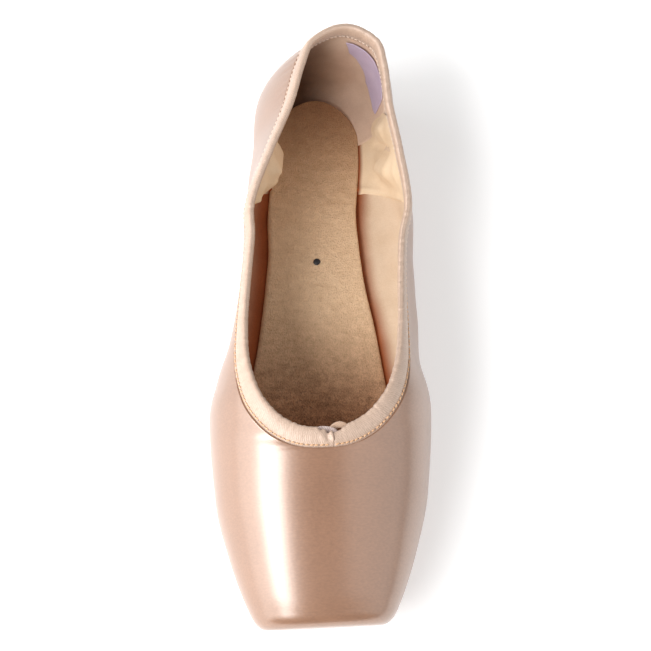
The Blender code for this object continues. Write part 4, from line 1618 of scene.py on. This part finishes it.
@dataclass(frozen=True)
class Studio:
    """White floor, soft light and the camera of the portrait."""

    azimuth: float = -7.08
    elevation: float = 68.04
    roll: float = 6.27
    distance: float = 0.84121
    lens: float = 114.4
    target: tuple[float, float, float] = (0.00266, 0.00235, 0.025)
    film_width: float = 36.0
    floor_half: float = 4.0
    floor_steps: int = 9
    sky: float = 0.30
    floor_glow: float = 0.30
    lights: tuple[Softbox, ...] = (
        Softbox("left_wall", 156.0, 42.0, 1.6, 2.5, along=-0.2),
        Softbox("left_strip", 126.0, 20.0, 1.15, 9.5, along=-0.52, lean=14.0),
        Softbox("right_wall", 41.0, 68.0, 1.4, 0.82, along=-0.3),
    )

    def camera(self) -> None:
        """Sets up the camera."""
        az, el, roll = (math.radians(v) for v in (self.azimuth, self.elevation, self.roll))
        back = Vector((math.sin(az) * math.cos(el), -math.cos(az) * math.cos(el), math.sin(el)))
        right = Vector((math.cos(az), math.sin(az), 0.0))
        up = back.cross(right)
        level, rise = math.cos(roll), math.sin(roll)
        right, up = right * level + up * rise, up * level - right * rise
        data = bpy.data.cameras.new("portrait_camera")
        data.lens = self.lens
        data.sensor_width = self.film_width
        camera = bpy.data.objects.new("portrait_camera", data)
        eye = Vector(self.target) + back * self.distance
        camera.matrix_world = Matrix.Translation(eye) @ Matrix((right, up, back)).transposed().to_4x4()
        bpy.context.scene.collection.objects.link(camera)
        bpy.context.scene.camera = camera

    def floor(self) -> None:
        """Lays the white floor."""
        cloud = Layer((2.0, 2.0, 2.0), tone=1.0)
        white = Ink((0.93, 0.93, 0.93), (0.95, 0.95, 0.95))
        glow = {"Emission Color": (1.0, 1.0, 1.0), "Emission Strength": self.floor_glow}
        finish = Finish("white_floor", white, 0.9, (cloud,), looks={"Specular IOR Level": 0.2} | glow)
        span = np.linspace(-self.floor_half, self.floor_half, self.floor_steps)
        sides = np.meshgrid(span, span, indexing="ij")
        grid = np.stack([*sides, np.zeros_like(sides[0])], -1)
        floor = Cutter.sew("white_floor", [Cutter.patch(grid, grid[..., :2])], finish.mix())

    def build(self) -> None:
        """Sets up camera, floor, sky and lights."""
        self.camera()
        self.floor()
        world = bpy.data.worlds.new("studio")
        world.use_nodes = True
        ground = world.node_tree.nodes["Background"]
        ground.inputs["Color"].default_value = (1.0, 1.0, 1.0, 1.0)
        ground.inputs["Strength"].default_value = self.sky
        bpy.context.scene.world = world
        bpy.context.scene.view_settings.view_transform = "Standard"
        for light in self.lights:
            light.build()


def report(piece: bpy.types.Object) -> None:
    """Logs a piece's name and its count of faces."""
    log.info("%s: %d faces", piece.name, len(piece.data.polygons))


def linings(last: Last) -> None:
    """Builds the three panels of lining, with painted shade: the vamp and quarter panels darker where they
    meet the sock, the heel panel darker on its left.
    """
    painted_gap_shade = Ink((0.22, 0.045, 0.009), (0.32, 0.080, 0.020))
    painted_wall_shade = Ink((0.075, 0.032, 0.016), (0.130, 0.066, 0.036))
    # Painted shade in the gap where the panel meets the sock, not rust.
    low = Shift(painted_gap_shade, "Y", (0.0005, 0.0075), by_cloth=True)
    front = cotton("vamp_lining_cotton", Ink((0.61, 0.45, 0.31), (0.71, 0.56, 0.42)), 0.85, painted_shade=low)
    # Painted shade in the gap where the panel meets the sock, not rust.
    low = Shift(painted_gap_shade, "Y", (0.0003, 0.0022), by_cloth=True)
    side = cotton("quarter_lining_cotton", Ink((0.74, 0.55, 0.36), (0.85, 0.68, 0.49)), 0.9, painted_shade=low)
    heel_ink = Ink((0.600, 0.420, 0.310), (0.780, 0.590, 0.460))
    # Painted shade on the heel lining's left, where the heel wall is in shadow.
    wall_shade_step = Shift(painted_wall_shade, "X", (-0.006, 0.016))
    heel = cotton("heel_lining_cotton", heel_ink, 0.9, pitch=0.0004, painted_shade=wall_shade_step)
    seam = (
        Fold(Side.RIGHT, ((158.0, 6.0), (163.0, 12.0), (171.0, 18.0)), 0.9, -0.5),
        Fold(Side.LEFT, ((160.0, 6.0), (160.0, 14.0), (160.0, 24.0)), 1.0, -0.4),
    )
    report(Lining(last, "vamp_lining", 14.0, 205.0, 0.25, folds=seam).build(front.mix(), "satin"))
    creases = (
        Fold(Side.RIGHT, ((200.0, 16.0), (194.0, 24.0), (188.0, 34.0)), 5.5, 5.0),
        Fold(Side.RIGHT, ((216.0, 16.0), (213.0, 24.0), (208.0, 32.0)), 4.5, 3.4),
        Fold(Side.RIGHT, ((210.0, 12.0), (206.0, 20.0), (198.0, 32.0)), 1.6, -2.4),
        Fold(Side.LEFT, ((207.0, 20.0), (195.0, 27.0), (184.0, 35.0)), 8.5, 9.5),
        Fold(Side.LEFT, ((201.0, 20.0), (193.0, 26.0), (184.0, 36.0)), 1.8, -1.2),
    )
    quarter = Lining(
        last, "quarter_lining", 189.6, 231.0, 0.8,
        slant=0.60, lip=1.8, puff=1.0, left_shade=1.0, seed=4, folds=creases,
    )
    report(quarter.build(side.mix(), "satin"))
    back = Lining(
        last, "heel_lining", 212.0, 244.0, 1.1,
        slant=-0.42, lip=1.0, puff=0.0, low=0.0, seed=6, wave=0.05,
    )
    report(back.build(heel.mix(), "satin"))


def drawstring(last: Last) -> None:
    """Builds the drawstring's pale end and its tan end."""
    pale_ink = Ink((0.52, 0.38, 0.34), (0.80, 0.67, 0.63), THREAD_SPAN)
    tan_ink = Ink((0.58, 0.38, 0.26), (0.78, 0.55, 0.40), THREAD_SPAN)
    pale = thread("drawstring_pale", pale_ink, 0.7, pitch=0.0007)
    tan = thread("drawstring_tan", tan_ink, 0.7, pitch=0.0007)
    bends = ((-9.0, -2.4), (-6.2, 1.3), (-2.6, 2.6), (1.2, 2.6), (4.4, 1.4), (6.0, -1.8))
    left = DrawstringEnd(last, "drawstring_end_left", "drawstring_left", bends, 2.9)
    bends = ((14.5, -0.8), (12.0, 2.4), (8.4, 4.0), (5.0, 3.6), (2.2, 1.4), (0.8, -1.9))
    right = DrawstringEnd(last, "drawstring_end_right", "drawstring_right", bends, 5.6)
    report(left.build(pale.mix()))
    report(right.build(tan.mix()))


def main() -> None:
    """Builds the shoe piece by piece."""
    logging.basicConfig(level=logging.INFO, format="%(name)s %(message)s")
    last = Last()
    path = CollarPath(last)
    Studio().build()
    report(SatinUpper(last).build(satin().mix()))
    report(BindingTape(last, path).build(tape().mix()))
    faded_ink = Ink((0.70, 0.54, 0.43), (0.88, 0.73, 0.62), THREAD_SPAN)
    faded = Shift(faded_ink, "Y", (-0.015, 0.030), before=False)
    peach_ink = Ink((0.72, 0.40, 0.19), (0.95, 0.62, 0.36), THREAD_SPAN)
    peach = thread("stitch_thread", peach_ink, 0.6, faded=faded)
    # The needle holes' finish is painted shade: dark shells stand for the shadow inside each hole.
    shade = lacquer("needle_shade", Ink((0.16, 0.07, 0.035), (0.24, 0.11, 0.06)), 0.9)
    for piece in BindingStitches(last, path).build(peach.mix(), shade.mix()):
        report(piece)
    linings(last)
    report(Sock(last).build(felt().mix()))
    report(Outsole(last).build(leather().mix()))
    drawstring(last)
    lilac = cotton("label_cloth", Ink((0.50, 0.40, 0.53), (0.60, 0.50, 0.63)), 0.75, pitch=0.0005)
    report(HeelLabel(last).build(lilac.mix()))
    black = lacquer("tack_black", Ink((0.012, 0.012, 0.014), (0.03, 0.028, 0.03)), 0.35)
    report(Tack(last).build(black.mix()))


if __name__ == "__main__":
    main()
